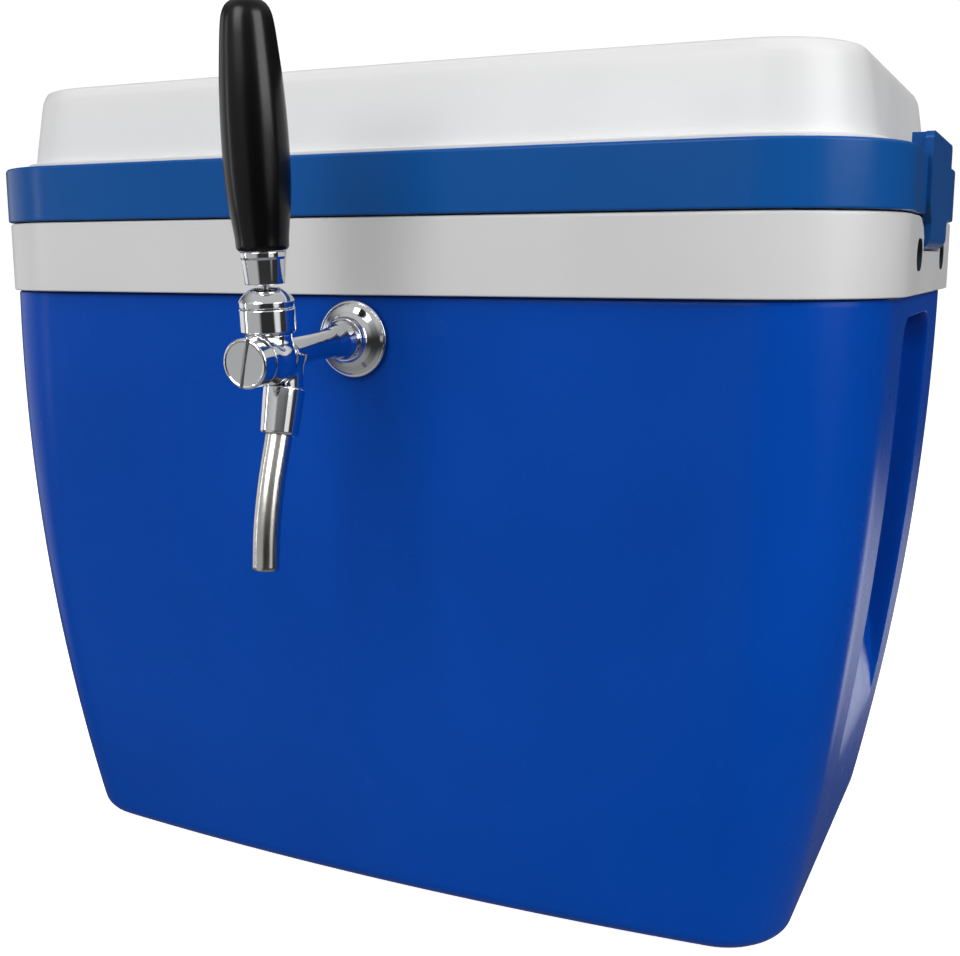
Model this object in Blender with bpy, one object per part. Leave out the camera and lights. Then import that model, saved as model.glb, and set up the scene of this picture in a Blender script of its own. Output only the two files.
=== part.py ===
"""A portable draught-beer cooler: an insulated picnic box with a beer tap through its front wall.

Metres, +Z up. The origin is the centre of the base. +X runs along the box's length, and the tap is at -Y.
The box is a blue outer shell, foam and a white liner, closed at the top by a pale collar that holds two
swinging end handles. The lid lifts off. Inside, a steel tube coil joins the inlet in the back wall to the
tap. The lid, each end handle, the tap's lever and the valve plunger that the lever pushes can move.
"""

from math import ceil, copysign, cos, pi, radians, sin, sqrt

import bmesh
import bpy
from mathutils import Vector

# ---------------------------------------------------------------- driving dimensions
GAP = 0.0003                  # clearance between pieces that touch
FOAM_GAP = 0.0014             # and around the foam, whose curved faces only follow the walls roughly

RIM_HALF_X = 0.235            # half the length, at the lid's rim
RIM_HALF_Y = 0.147            # half the depth at the corners; the long sides bow out past it
RIM_BOW = 0.003
RIM_CORNER = 0.062
PLAN_OFFSET = RIM_HALF_X - RIM_HALF_Y

Z_FLOOR = 0.024               # top of the tub's floor
Z_COLLAR = 0.2941             # underside of the collar
Z_SEAM = 0.3287               # joint between the collar and the lid
Z_RIM = 0.3561                # top of the lid's rim
Z_LEDGE = 0.3588              # step at the foot of the dome
Z_DOME = 0.3990               # crown of the lid

BODY_HALF_X = 0.2295          # half sizes of the shell just under the collar
BODY_HALF_Y = 0.142
BODY_CORNER = 0.052
BODY_CORNER_BASE = 0.030      # its upright corners are tighter at the base
BODY_END_TAPER = 0.0033       # how far the ends draw in at the base: straight part, then curved part
BODY_END_CURVE = 0.0300
BODY_SIDE_CURVE = 0.0245
BODY_BOW_GROWTH = 0.0077      # the long sides bow out more towards the base
BASE_ROUNDING = 0.008
SHELL_WALL = 0.0028

LINER_WALL = 0.0020
LINER_TOP = (0.2105, 0.1225, 0.040, 0.0030)      # half x, half y, corner, bow inside the tub's mouth
LINER_BASE = (0.1800, 0.1060, 0.034, 0.0070)     # and at its floor

RECESS_HALF_Y = 0.054         # hand recess in each end
RECESS_BOTTOM = 0.068
RECESS_TOP = 0.284
RECESS_DEPTH = 0.013
RECESS_RAMP = 0.075           # height over which the recess runs out to nothing at its foot
RECESS_CORNER = 0.020

END_SLOT_Y = 0.0500           # blind slots in each end of the collar, beside the handle's hinge
END_SLOT_Z = 0.3115
END_SLOT_HALF_LENGTH = 0.0110
END_SLOT_HALF_HEIGHT = 0.0070
END_SLOT_FLOOR = 0.2225       # distance of their floor from the centre

PIVOT_X = 0.2312              # end handle's hinge pin
PIVOT_Z = 0.3195
BARREL_R = 0.0055
HANDLE_OUTER_X = PIVOT_X + BARREL_R
HANDLE_HALF_Y = 0.045
HANDLE_TOP = 0.3650
HANDLE_PLATE = 0.0037
HANDLE_BAR = 0.0094
PIN_R = 0.0020
PIN_BORE_R = 0.0021
PIN_HALF_LENGTH = 0.0445

TAP_X = 0.0030                # the tap is a little right of the middle
TAP_Z = 0.2745                # its shank goes through the front wall here
WALL_Y = -0.1450              # outer face of the front wall
LINER_Y = -0.1229             # inner face of the liner behind it
SHANK_R = 0.0080
SHANK_BORE_R = 0.0035
SHANK_FOOT = 0.0960           # distance in front of the centre at which the shank begins
FAUCET_Y = -0.1560            # front of the flange, where the faucet's sloping arm starts
TAP_TILT = radians(4.0)       # the arm slopes down and the lever leans forward by this
VALVE_U = 0.0565              # distance along the arm to the valve's centre
BALL_R = 0.0110               # valve body
PIVOT_W = 0.0165              # lever's pivot above the arm's axis
SPOUT_U = 0.0440              # the spout leaves the arm here, behind the valve
SPOUT_W = -0.0008
SPOUT_LEAN = radians(14.0)    # the spout's foot is further forward than its top
SPOUT_BEND = ((-0.2140, 0.2200), (-0.2182, 0.2020), (-0.2200, 0.1840))  # then it bends through these Y, Z
SPOUT_R, SPOUT_BORE_R = 0.0056, 0.0046
SOCKET_TOP = 0.0136           # distance down the spout at which its socket begins
SOCKET_LENGTH = 0.0195
VALVE_BORE_R = 0.0043
CLAMP_R = 0.0084              # bore of the seals, washers and flange around both wall fittings
WALL_HOLE_R = 0.0086
NUT_R = 0.0135                # hex nuts across their corners, halved
NUT_HEIGHT = 0.0071

INLET_X = 0.1000              # the beer inlet in the back wall
INLET_Z = 0.2500
INLET_WALL_Y = 0.1448         # outer and inner faces of the back wall there
INLET_LINER_Y = 0.1213
BARB_BORE_R = 0.0035

COIL_TUBE_R, COIL_BORE_R = 0.0040, 0.0032
COIL_BEND_R = 0.0700          # radius of the coil's round ends
COIL_STRAIGHT = 0.0600        # half length of its straight sides
COIL_TURNS = 8
COIL_PITCH = 0.0115
COIL_Z = 0.0360               # centre of the lowest turn
STRAP_X = 0.0400

CORNER_STEPS = 4
END_POINTS, SIDE_POINTS = 1, 3  # points between the corners, on an end and on a long side
SIDE_LEVELS = 7               # levels up the shell's tapering sides
ROUND = 24                    # facets of a large turned piece
SMALL_ROUND = 16              # and of a small one


# ---------------------------------------------------------------- helpers
def clear_scene():
    for obj in list(bpy.data.objects):
        bpy.data.objects.remove(obj, do_unlink=True)


def material(name, color, roughness, metallic=0.0):
    """A Principled material of one colour."""
    made = bpy.data.materials.new(name)
    made.use_nodes = True
    shader = made.node_tree.nodes["Principled BSDF"]
    shader.inputs["Base Color"].default_value = (*color, 1.0)
    shader.inputs["Roughness"].default_value = roughness
    shader.inputs["Metallic"].default_value = metallic
    return made


def add_object(name, bm, finish, smooth=True):
    """Puts a bmesh into the scene as one object, with its faces pointing out."""
    bmesh.ops.recalc_face_normals(bm, faces=bm.faces)
    mesh = bpy.data.meshes.new(name)
    bm.to_mesh(mesh)
    bm.free()
    if finish is not None:
        mesh.materials.append(finish)
    if smooth:
        mesh.shade_smooth()
        mesh.set_sharp_from_angle(angle=radians(35))
    obj = bpy.data.objects.new(name, mesh)
    bpy.context.scene.collection.objects.link(obj)
    return obj


def helper(obj):
    """Marks a cutter or an added shape, which isn't a part of its own."""
    obj.hide_render = True
    obj.display_type = "WIRE"
    return obj


def combine(target, other, operation):
    modifier = target.modifiers.new(f"{operation.lower()} {other.name}", "BOOLEAN")
    modifier.operation = operation
    modifier.solver = "EXACT"
    modifier.object = helper(other)


def cut(target, *cutters):
    for cutter in cutters:
        combine(target, cutter, "DIFFERENCE")


def join(target, *others):
    for other in others:
        combine(target, other, "UNION")


def place(obj, location=(0, 0, 0), rotation=(0, 0, 0), parent=None):
    obj.location = location
    obj.rotation_euler = rotation
    obj.parent = parent
    return obj


def loft(name, loops, finish=None, ring=False):
    """Bridges loops of equal length. An open loft is capped at both ends; a ring closes on itself."""
    bm = bmesh.new()
    rows = [[bm.verts.new(point) for point in loop] for loop in loops]
    following = rows[1:] + rows[:1] if ring else rows[1:]
    for low, high in zip(rows, following):
        for i in range(len(low)):
            j = (i + 1) % len(low)
            bm.faces.new((low[i], low[j], high[j], high[i]))
    if not ring:
        bm.faces.new(rows[0][::-1])
        bm.faces.new(rows[-1])
    return add_object(name, bm, finish)


def turned(name, profile, finish=None, steps=ROUND, ring=False):
    """A lathe-turned solid about its own Z axis. The profile is a list of (radius, height)."""
    angles = [2 * pi * i / steps for i in range(steps)]
    loops = [[(r * cos(a), r * sin(a), h) for a in angles] for r, h in profile]
    return loft(name, loops, finish, ring)


def washer(name, inner, outer, low, high, finish=None, steps=ROUND):
    profile = [(inner, low), (outer, low), (outer, high), (inner, high)]
    return turned(name, profile, finish, steps, ring=True)


def prism(name, points, depth, finish=None):
    """Extrudes a closed outline of 3-D points by a vector."""
    shift = Vector(depth)
    return loft(name, [points, [tuple(Vector(p) + shift) for p in points]], finish)


def block(name, low, high, finish=None):
    (x0, y0, z0), (x1, y1, z1) = low, high
    return prism(name, [(x0, y0, z0), (x1, y0, z0), (x1, y1, z0), (x0, y1, z0)], (0, 0, z1 - z0), finish)


def rounded(points, radius, steps=4):
    """A 2-D polygon with each corner replaced by a quadratic curve of about this radius."""
    result = []
    count = len(points)
    for i, (x, y) in enumerate(points):
        here = Vector((x, y))
        before = here + (Vector(points[i - 1]) - here).normalized() * radius
        after = here + (Vector(points[(i + 1) % count]) - here).normalized() * radius
        for k in range(steps + 1):
            t = k / steps
            result.append(tuple(before * (1 - t) ** 2 + here * (2 * t * (1 - t)) + after * t**2))
    return result


def curve_through(points, step):
    """Points about one step apart on a smooth curve through the given points."""
    result = []
    count = len(points)
    for i in range(count - 1):
        p1, p2 = points[i], points[i + 1]
        p0 = points[i - 1] if i else p1 * 2 - p2
        p3 = points[i + 2] if i + 2 < count else p2 * 2 - p1
        parts = max(1, ceil((p2 - p1).length / step))
        for k in range(parts):
            t = k / parts
            result.append(
                p1 * (2 - 5 * t * t + 3 * t**3) / 2 + p2 * (t + 4 * t * t - 3 * t**3) / 2
                + p0 * (2 * t * t - t - t**3) / 2 + p3 * (t**3 - t * t) / 2
            )
    return result + [points[-1]]


def tube_loops(points, radius, facets):
    """Rings of points around a path, turned as little as possible from one to the next."""
    loops = []
    count = len(points)
    side = Vector((1, 0, 0))
    for k, point in enumerate(points):
        along = (points[min(k + 1, count - 1)] - points[max(k - 1, 0)]).normalized()
        side = (side - along * side.dot(along)).normalized()
        other = along.cross(side)
        loops.append([
            tuple(point + radius * (side * cos(a) + other * sin(a)))
            for a in (2 * pi * i / facets for i in range(facets))
        ])
    return loops


def tube(name, path, radius, bore_radius, facets, finish):
    """A bored tube along a path."""
    outside = tube_loops(path, radius, facets)
    inside = tube_loops(path, bore_radius, facets)
    return loft(name, outside + inside[::-1], finish, ring=True)


# ---------------------------------------------------------------- plan outlines
def outline(half_x, half_y, corner, bow, z):
    """One level of the box's plan: a rounded rectangle whose long sides bow outwards."""
    arcs = []
    for sx, sy, start in ((1, -1, -90), (1, 1, 0), (-1, 1, 90), (-1, -1, 180)):
        angles = [radians(start + 90 * i / CORNER_STEPS) for i in range(CORNER_STEPS + 1)]
        cx, cy = sx * (half_x - corner), sy * (half_y - corner)
        arcs.append([(cx + corner * cos(a), cy + corner * sin(a)) for a in angles])
    points = []
    for i, arc in enumerate(arcs):
        (x0, y0), (x1, y1) = arc[-1], arcs[(i + 1) % 4][0]
        extra = END_POINTS if i % 2 == 0 else SIDE_POINTS
        points += arc
        points += [
            (x0 + (x1 - x0) * k / (extra + 1), y0 + (y1 - y0) * k / (extra + 1))
            for k in range(1, extra + 1)
        ]
    return [(x, y + copysign(bow * max(0, 1 - (x / half_x) ** 2), y), z) for x, y in points]


def band(half_x, z):
    """A level of the collar or lid, which follow the rim's plan at a constant inset."""
    corner = max(0.020, RIM_CORNER - (RIM_HALF_X - half_x))
    return outline(half_x, half_x - PLAN_OFFSET, corner, RIM_BOW, z)


def body_half_x(z):
    s = 1 - z / Z_COLLAR
    return BODY_HALF_X - BODY_END_TAPER * s - BODY_END_CURVE * s * s


def body(z, inset=0.0):
    """A level of the tapering shell."""
    s = 1 - z / Z_COLLAR
    half_y = BODY_HALF_Y - BODY_SIDE_CURVE * s * s - inset
    bow = RIM_BOW + BODY_BOW_GROWTH * s * s
    corner = BODY_CORNER + (BODY_CORNER_BASE - BODY_CORNER) * s
    return outline(body_half_x(z) - inset, half_y, corner - inset, bow, z)


def base_levels(inset, z):
    """The rounded bottom edge: levels from the flat base up to where the sides begin."""
    radius = BASE_ROUNDING - inset
    steps = 3
    for i in range(steps):
        angle = i * pi / 2 / steps
        yield z + radius * (1 - cos(angle)), inset + radius * (1 - sin(angle))


def liner(z, grow=0.0):
    """A level of the tub's inside, or of a surface outside it."""
    t = (z - Z_FLOOR) / (Z_SEAM - Z_FLOOR)
    half_x, half_y, corner, bow = (a + (b - a) * t for a, b in zip(LINER_BASE, LINER_TOP))
    return outline(half_x + grow, half_y + grow, corner + grow, bow, z)


def side_heights():
    """The levels that the shell and the foam share, so that the gap between them stays even."""
    top = Z_COLLAR - 2 * GAP
    return [BASE_ROUNDING + (top - BASE_ROUNDING) * k / SIDE_LEVELS for k in range(SIDE_LEVELS + 1)]


# ---------------------------------------------------------------- the insulated box
def recess_loft(name, side, grow, outward):
    """The hand recess's shape in one end, grown by a wall, and reaching past the shell or stopping in it."""
    bottom, top = RECESS_BOTTOM - grow, RECESS_TOP + grow
    corner = RECESS_CORNER
    corner_levels = [corner * (1 - cos(a)) for a in (0.0, 0.7, 1.15, pi / 2)]
    levels = [bottom + c for c in corner_levels]
    levels += [bottom + corner + (top - bottom - 2 * corner) * k / 6 for k in range(1, 6)]
    levels += [top - c for c in reversed(corner_levels)]
    loops = []
    for z in levels:
        near = min(z - bottom, top - z, corner)
        half = RECESS_HALF_Y + grow - corner + sqrt(corner**2 - (corner - near) ** 2)
        t = min(1.0, max(0.0, (z - RECESS_BOTTOM) / RECESS_RAMP))
        depth = RECESS_DEPTH * t * t * (3 - 2 * t) + grow
        x0 = body_half_x(z) - depth
        x1 = body_half_x(z) + outward
        corners = ((x0, -half), (x1, -half), (x1, half), (x0, half))
        loops.append([(side * x, y, z) for x, y in corners])
    return loft(name, loops)


def make_outer_shell(finish):
    wall = SHELL_WALL
    heights = side_heights() + [Z_COLLAR - GAP]
    inside = [body(z, inset) for z, inset in base_levels(wall, wall)]
    inside += [body(z, wall) for z in heights]
    outside = [body(z) for z in reversed(heights)]
    outside += [body(z, inset) for z, inset in reversed(list(base_levels(0.0, 0.0)))]
    shell = loft("outer_shell", inside + outside, finish)
    for side, end in ((1, "right"), (-1, "left")):
        join(shell, recess_loft(f"recess_wall_{end}", side, wall, -wall / 2))
        cut(shell, recess_loft(f"recess_{end}", side, 0.0, 0.01))
    return shell


def make_body_foam(finish):
    """The foam between the shell and the liner, stepped in at the top to clear the collar's hinge blocks."""
    out = SHELL_WALL + FOAM_GAP
    z_step = Z_COLLAR - 2 * GAP
    z_top = Z_SEAM - 0.0047
    grow = LINER_WALL + FOAM_GAP
    loops = [liner(Z_FLOOR - grow, grow - 0.006)]
    loops += [liner(z, grow) for z in (Z_FLOOR + 0.004, 0.12, 0.22, z_top)]
    loops += [band(0.2190, z_top), band(0.2190, z_step)]
    loops += [body(z, out) for z in reversed(side_heights())]
    loops += [body(z, inset) for z, inset in reversed(list(base_levels(out, out)))]
    foam = loft("body_foam", loops, finish)
    for side, end in ((1, "right"), (-1, "left")):
        cut(foam, recess_loft(f"recess_room_{end}", side, SHELL_WALL + FOAM_GAP, 0.01))
    return foam


def make_inner_liner(finish):
    """The white tub: floor, tapering walls and a flange that lies on the foam."""
    wall = LINER_WALL
    z_top = Z_SEAM - GAP
    levels = (Z_FLOOR + 0.004, 0.12, 0.22, z_top)
    loops = [liner(Z_FLOOR, -0.006)]
    loops += [liner(z) for z in levels]
    loops += [band(0.2190, z_top), band(0.2190, z_top - wall)]
    loops += [liner(z, wall) for z in reversed(levels[:-1] + (z_top - wall,))]
    loops += [liner(Z_FLOOR - wall, wall - 0.006)]
    return loft("inner_liner", loops, finish)


def pocket_points():
    """Outline, in the end's Y-Z plane, of the flared pocket that the handle swings in."""
    half = [(0.063, Z_SEAM + 0.003), (0.041, 0.3240), (0.0362, PIVOT_Z), (0.0362, PIVOT_Z - 0.0063)]
    return half[::-1] + [(-y, z) for y, z in half]


def end_slot_points(along, steps=8):
    """A slot's outline with round ends, in the end's Y-Z plane, on one side of the hinge."""
    straight = END_SLOT_HALF_LENGTH - END_SLOT_HALF_HEIGHT
    points = []
    for side in (1, -1):
        for k in range(steps + 1):
            a = side * (pi * k / steps - pi / 2)
            y = along * END_SLOT_Y + side * (straight + END_SLOT_HALF_HEIGHT * cos(a))
            points.append((y, END_SLOT_Z + END_SLOT_HALF_HEIGHT * sin(a)))
    return points


def make_collar(finish):
    """The pale band around the top, an upside-down channel with a solid hinge block at each end."""
    top = Z_SEAM - GAP
    sections = (
        (0.2340, Z_COLLAR), (0.2340, top - 0.0012), (0.2333, top), (0.2195, top), (0.2195, 0.2975),
        (0.2220, 0.2975), (0.2220, top - 0.0028), (0.2310, top - 0.0028), (0.2310, 0.2975),
        (0.2285, 0.2965), (0.2285, Z_COLLAR),
    )
    collar = loft("collar", [band(half_x, z) for half_x, z in sections], finish, ring=True)
    for side, end in ((1, "right"), (-1, "left")):
        low, high = sorted((side * 0.2205, side * 0.2325))
        join(collar, block(f"hinge_block_{end}", (low, -0.080, 0.2950), (high, 0.080, top - 0.0014)))
        pocket = [(side * (PIVOT_X - BARREL_R - 0.0007), y, z) for y, z in pocket_points()]
        cut(collar, prism(f"handle_pocket_{end}", pocket, (side * 0.02, 0, 0)))
        for along in (1, -1):
            slot = [(side * END_SLOT_FLOOR, y, z) for y, z in end_slot_points(along)]
            cut(collar, prism(f"end_slot_{end}_{along}", slot, (side * 0.02, 0, 0)))
        bore = turned(f"pin_bore_{end}", [(PIN_BORE_R, -0.0450), (PIN_BORE_R, 0.0450)], steps=SMALL_ROUND)
        place(bore, (side * PIVOT_X, 0, PIVOT_Z), (pi / 2, 0, 0))
        cut(collar, bore)
    return collar


# ---------------------------------------------------------------- end handles
def make_handle(side, end, finish, steel):
    """A swinging end handle: a plate with a grip lip along its top and a hinge barrel at its foot."""
    half = [(HANDLE_HALF_Y, HANDLE_TOP), (HANDLE_HALF_Y, 0.3330), (0.0355, 0.3255), (0.0355, PIVOT_Z)]
    shape = rounded(half[::-1] + [(-y, z) for y, z in half], 0.0030, 3)
    face = [(side * HANDLE_OUTER_X, y, z) for y, z in shape]
    handle = prism(f"handle_{end}", face, (-side * HANDLE_PLATE, 0, 0), finish)
    bar_x = sorted((side * (HANDLE_OUTER_X - 0.0010), side * (HANDLE_OUTER_X - HANDLE_BAR)))
    lip = HANDLE_HALF_Y - 0.0008
    join(handle, block(f"lip_{end}", (bar_x[0], -lip, 0.3545), (bar_x[1], lip, HANDLE_TOP - 0.0006)))
    barrel = turned(f"barrel_{end}", [(BARREL_R, -0.0354), (BARREL_R, 0.0354)], steps=ROUND)
    join(handle, place(barrel, (side * PIVOT_X, 0, PIVOT_Z), (pi / 2, 0, 0)))
    bore = turned(f"handle_bore_{end}", [(PIN_BORE_R, -0.05), (PIN_BORE_R, 0.05)], steps=SMALL_ROUND)
    cut(handle, place(bore, (side * PIVOT_X, 0, PIVOT_Z), (pi / 2, 0, 0)))
    pin = turned(
        f"hinge_pin_{end}", [(PIN_R, -PIN_HALF_LENGTH), (PIN_R, PIN_HALF_LENGTH)], steel, SMALL_ROUND
    )
    place(pin, (side * PIVOT_X, 0, PIVOT_Z), (pi / 2, 0, 0))


# ---------------------------------------------------------------- the lid
def make_lid(blue, white, pan_white, foam_finish):
    """Blue rim, white dome, foam and the inner pan that plugs the tub's mouth."""
    foot = Z_SEAM + GAP
    rim = loft("lid_rim", [band(half_x, z) for half_x, z in (
        (0.2350, foot), (0.2350, Z_RIM - 0.0012), (0.2340, Z_RIM), (0.2240, Z_RIM),
        (0.2240, Z_RIM - 0.0025), (0.2320, Z_RIM - 0.0025), (0.2320, foot),
    )], blue, ring=True)
    for side, end in ((1, "right"), (-1, "left")):
        low, high = sorted((side * 0.2242, side * 0.2335))
        join(rim, block(f"rim_block_{end}", (low, -0.0530, foot + 0.0005), (high, 0.0530, Z_RIM - 0.0010)))
        low, high = sorted((side * 0.2267, side * 0.2500))
        cut(rim, block(f"rim_notch_{end}", (low, -0.0463, 0.3200), (high, 0.0463, 0.3700)))

    dome_outside = (
        (0.2235, 0.3400), (0.2235, Z_LEDGE - 0.0008), (0.2227, Z_LEDGE), (0.2195, Z_LEDGE),
        (0.2150, 0.3870), (0.2135, 0.3925), (0.2090, 0.3962), (0.1900, 0.3976), (0.1200, Z_DOME),
    )
    dome_inside = (
        (0.1200, Z_DOME - 0.0025), (0.2050, 0.3940), (0.2120, 0.3870), (0.2170, Z_LEDGE - 0.0027),
        (0.2210, Z_LEDGE - 0.0027), (0.2210, 0.3400),
    )
    loft("lid_top", [band(half_x, z) for half_x, z in dome_inside + dome_outside], white)

    plug_z = 0.3160
    pan_wall = 0.0022
    pan = (
        (0.2043, plug_z + pan_wall), (0.2043, foot + pan_wall), (0.2215, foot + pan_wall), (0.2215, foot),
        (0.2065, foot), (0.2065, plug_z + 0.001), (0.2055, plug_z),
    )
    loft("lid_pan", [band(half_x, z) for half_x, z in pan], pan_white)
    foam = (
        (0.2038, plug_z + pan_wall + GAP), (0.2038, foot + pan_wall + GAP), (0.2100, foot + pan_wall + GAP),
        (0.2100, 0.3850), (0.2000, 0.3925),
    )
    loft("lid_foam", [band(half_x, z) for half_x, z in foam], foam_finish)


# ---------------------------------------------------------------- the tap
FORWARD = (pi / 2, 0, 0)      # turns a lathe's own +Z to face forward, -Y
BACKWARD = (-pi / 2, 0, 0)


def frame_point(u, w):
    """A point in the faucet's tilted frame: u along the arm, w above it."""
    forward = u * cos(TAP_TILT) + w * sin(TAP_TILT)
    up = w * cos(TAP_TILT) - u * sin(TAP_TILT)
    return Vector((TAP_X, FAUCET_Y - forward, TAP_Z + up))


def hex_nut(name, x, z, face, turn, finish):
    """A hexagonal nut on a wall fitting. Its face is the one towards the wall."""
    back = face - NUT_HEIGHT
    bore = SHANK_R + GAP
    nut = turned(name, [(bore, back), (NUT_R, back), (NUT_R, face), (bore, face)], finish, 6, ring=True)
    place(nut, (x, 0, z), turn)
    thread = turned(f"{name}_thread", [(bore, back - 0.001), (bore, face + 0.001)])
    cut(nut, place(thread, (x, 0, z), turn))


def make_shank(chrome, steel, rubber):
    """The shank through the front wall, with its seal, flange, washer and nut."""
    shank_end, socket_floor, socket_r = 0.1555, 0.1460, 0.0060
    shank = turned("tap_shank", [
        (SHANK_BORE_R, SHANK_FOOT), (SHANK_R, SHANK_FOOT), (SHANK_R, shank_end), (socket_r, shank_end),
        (socket_r, socket_floor), (SHANK_BORE_R, socket_floor),
    ], steel, ring=True)
    wall, inner = -WALL_Y, -LINER_Y
    back = wall + 0.0017
    flange = turned("tap_flange", [
        (CLAMP_R, back), (0.0168, back), (0.0173, back + 0.0012), (0.0165, back + 0.0026),
        (0.0140, back + 0.0030), (0.0115, back + 0.0042), (0.0100, back + 0.0062),
        (0.0095, back + 0.0090), (CLAMP_R, back + 0.0090),
    ], chrome, steps=32, ring=True)
    seal = washer("flange_seal", CLAMP_R, 0.0155, wall + 0.0004, back - GAP, rubber)
    ring = washer("shank_washer", CLAMP_R, 0.0140, inner - 0.0034, inner - 0.0014, rubber)
    for piece in (shank, flange, seal, ring):
        place(piece, (TAP_X, 0, TAP_Z), FORWARD)
    hex_nut("shank_nut", TAP_X, TAP_Z, inner - 0.0037, FORWARD, steel)


def make_faucet(frame, chrome):
    """The faucet's static pieces, built in the tilted frame: +Z of a forward lathe is the arm's length."""
    u = VALVE_U
    spout_turn = (pi - SPOUT_LEAN - TAP_TILT, 0, 0)
    sphere = [(sqrt(BALL_R**2 - d * d), u + d) for d in (-0.0090, -0.0070, -0.0045, -0.0018, 0.0010, 0.0036)]
    arm = [
        (0.0088, 0.0003), (0.0088, 0.0022), (0.0076, 0.0055), (0.0065, 0.0120), (0.0060, 0.0260),
        (0.0061, 0.0420), *sphere, (0.0100, u + 0.0046), (0.0100, u + 0.0100),
    ]
    faucet = turned("faucet_body", arm, chrome)
    place(faucet, (0, 0, 0), FORWARD, frame)
    boss = turned("bonnet_boss", [(0.0070, -0.0020), (0.0095, 0.0060), (0.0095, 0.0097)])
    neck = turned("spout_boss", [(0.0068, 0.0), (0.0068, 0.0131)])
    spigot = turned("rear_spigot", [(0.0057, -0.0080), (0.0057, 0.0020)])
    join(
        faucet,
        place(boss, (0, -u, 0), parent=frame),
        place(neck, (0, -SPOUT_U, SPOUT_W), spout_turn, frame),
        place(spigot, (TAP_X, FAUCET_Y, TAP_Z), FORWARD),
    )
    bore = turned("valve_bore", [(VALVE_BORE_R, 0.0140), (VALVE_BORE_R, 0.0700)], steps=SMALL_ROUND)
    way_in = turned("inlet_bore", [(0.0026, -0.0010), (0.0026, 0.0150)], steps=SMALL_ROUND)
    spigot_bore = turned("spigot_bore", [(0.0026, -0.0090), (0.0026, 0.0010)], steps=SMALL_ROUND)
    way_out = turned("outlet_bore", [(0.0030, 0.0020), (0.0030, 0.0140)], steps=SMALL_ROUND)
    slot = block("lever_slot", (-0.0021, -0.0068, 0.0), (0.0021, 0.0068, 0.0120))
    cut(
        faucet,
        place(bore, (0, 0, 0), FORWARD, frame),
        place(way_in, (0, 0, 0), FORWARD, frame),
        place(spigot_bore, (TAP_X, FAUCET_Y, TAP_Z), FORWARD),
        place(way_out, (0, -SPOUT_U, SPOUT_W), spout_turn, frame),
        place(slot, (0, -u, 0), parent=frame),
    )
    cap = turned("front_cap", [
        (0.0099, u + 0.0103), (0.0102, u + 0.0112), (0.0102, u + 0.0172), (0.0094, u + 0.0184),
        (0.0088, u + 0.0184), (0.0084, u + 0.0180),
    ], chrome, steps=32)
    place(cap, (0, 0, 0), FORWARD, frame)
    groove = block("cap_slot", (-0.0010, -0.0100, 0.0), (0.0010, 0.0100, 0.0100))
    cut(cap, place(groove, (0, -(u + 0.0162), 0), (pi / 2, radians(-14), 0), frame))

    inner = 0.0066
    ring = turned("bonnet_ring", [
        (inner, 0.0100), (0.0104, 0.0100), (0.0113, 0.0112), (0.0113, 0.0190), (0.0108, 0.0202),
        (inner, 0.0202),
    ], chrome, ring=True)
    place(ring, (0, -u, 0), parent=frame)
    dome_r = 0.0130
    dome = [(r, PIVOT_W + sqrt(dome_r**2 - r * r)) for r in (0.0108, 0.0092, 0.0074, 0.0057)]
    nut = turned("bonnet_nut", [
        (inner, 0.0205), (0.0106, 0.0205), (0.0112, 0.0214), (0.0112, 0.0228), *dome, (0.0057, 0.0262),
        (inner, 0.0245),
    ], chrome, ring=True)
    place(nut, (0, -u, 0), parent=frame)

    top, foot, hole_r = SOCKET_TOP, SOCKET_TOP + SOCKET_LENGTH, SPOUT_R + 0.0004
    socket = turned("spout_socket", [
        (hole_r, top), (0.0084, top), (0.0088, top + 0.0012), (0.0080, foot - 0.0010), (0.0074, foot),
        (hole_r, foot),
    ], chrome, ring=True)
    place(socket, (0, -SPOUT_U, SPOUT_W), spout_turn, frame)


def make_spout(steel):
    """The spout: a thin tube that leans forward out of its socket, then bends to hang straight down."""
    way = Vector((0, -sin(SPOUT_LEAN), -cos(SPOUT_LEAN)))
    root = frame_point(SPOUT_U, SPOUT_W)
    route = [root + way * reach for reach in (SOCKET_TOP + 0.0014, 0.0240, SOCKET_TOP + SOCKET_LENGTH)]
    route += [Vector((TAP_X, y, z)) for y, z in SPOUT_BEND]
    tube("spout_tube", curve_through(route, 0.0070), SPOUT_R, SPOUT_BORE_R, SMALL_ROUND, steel)


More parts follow.
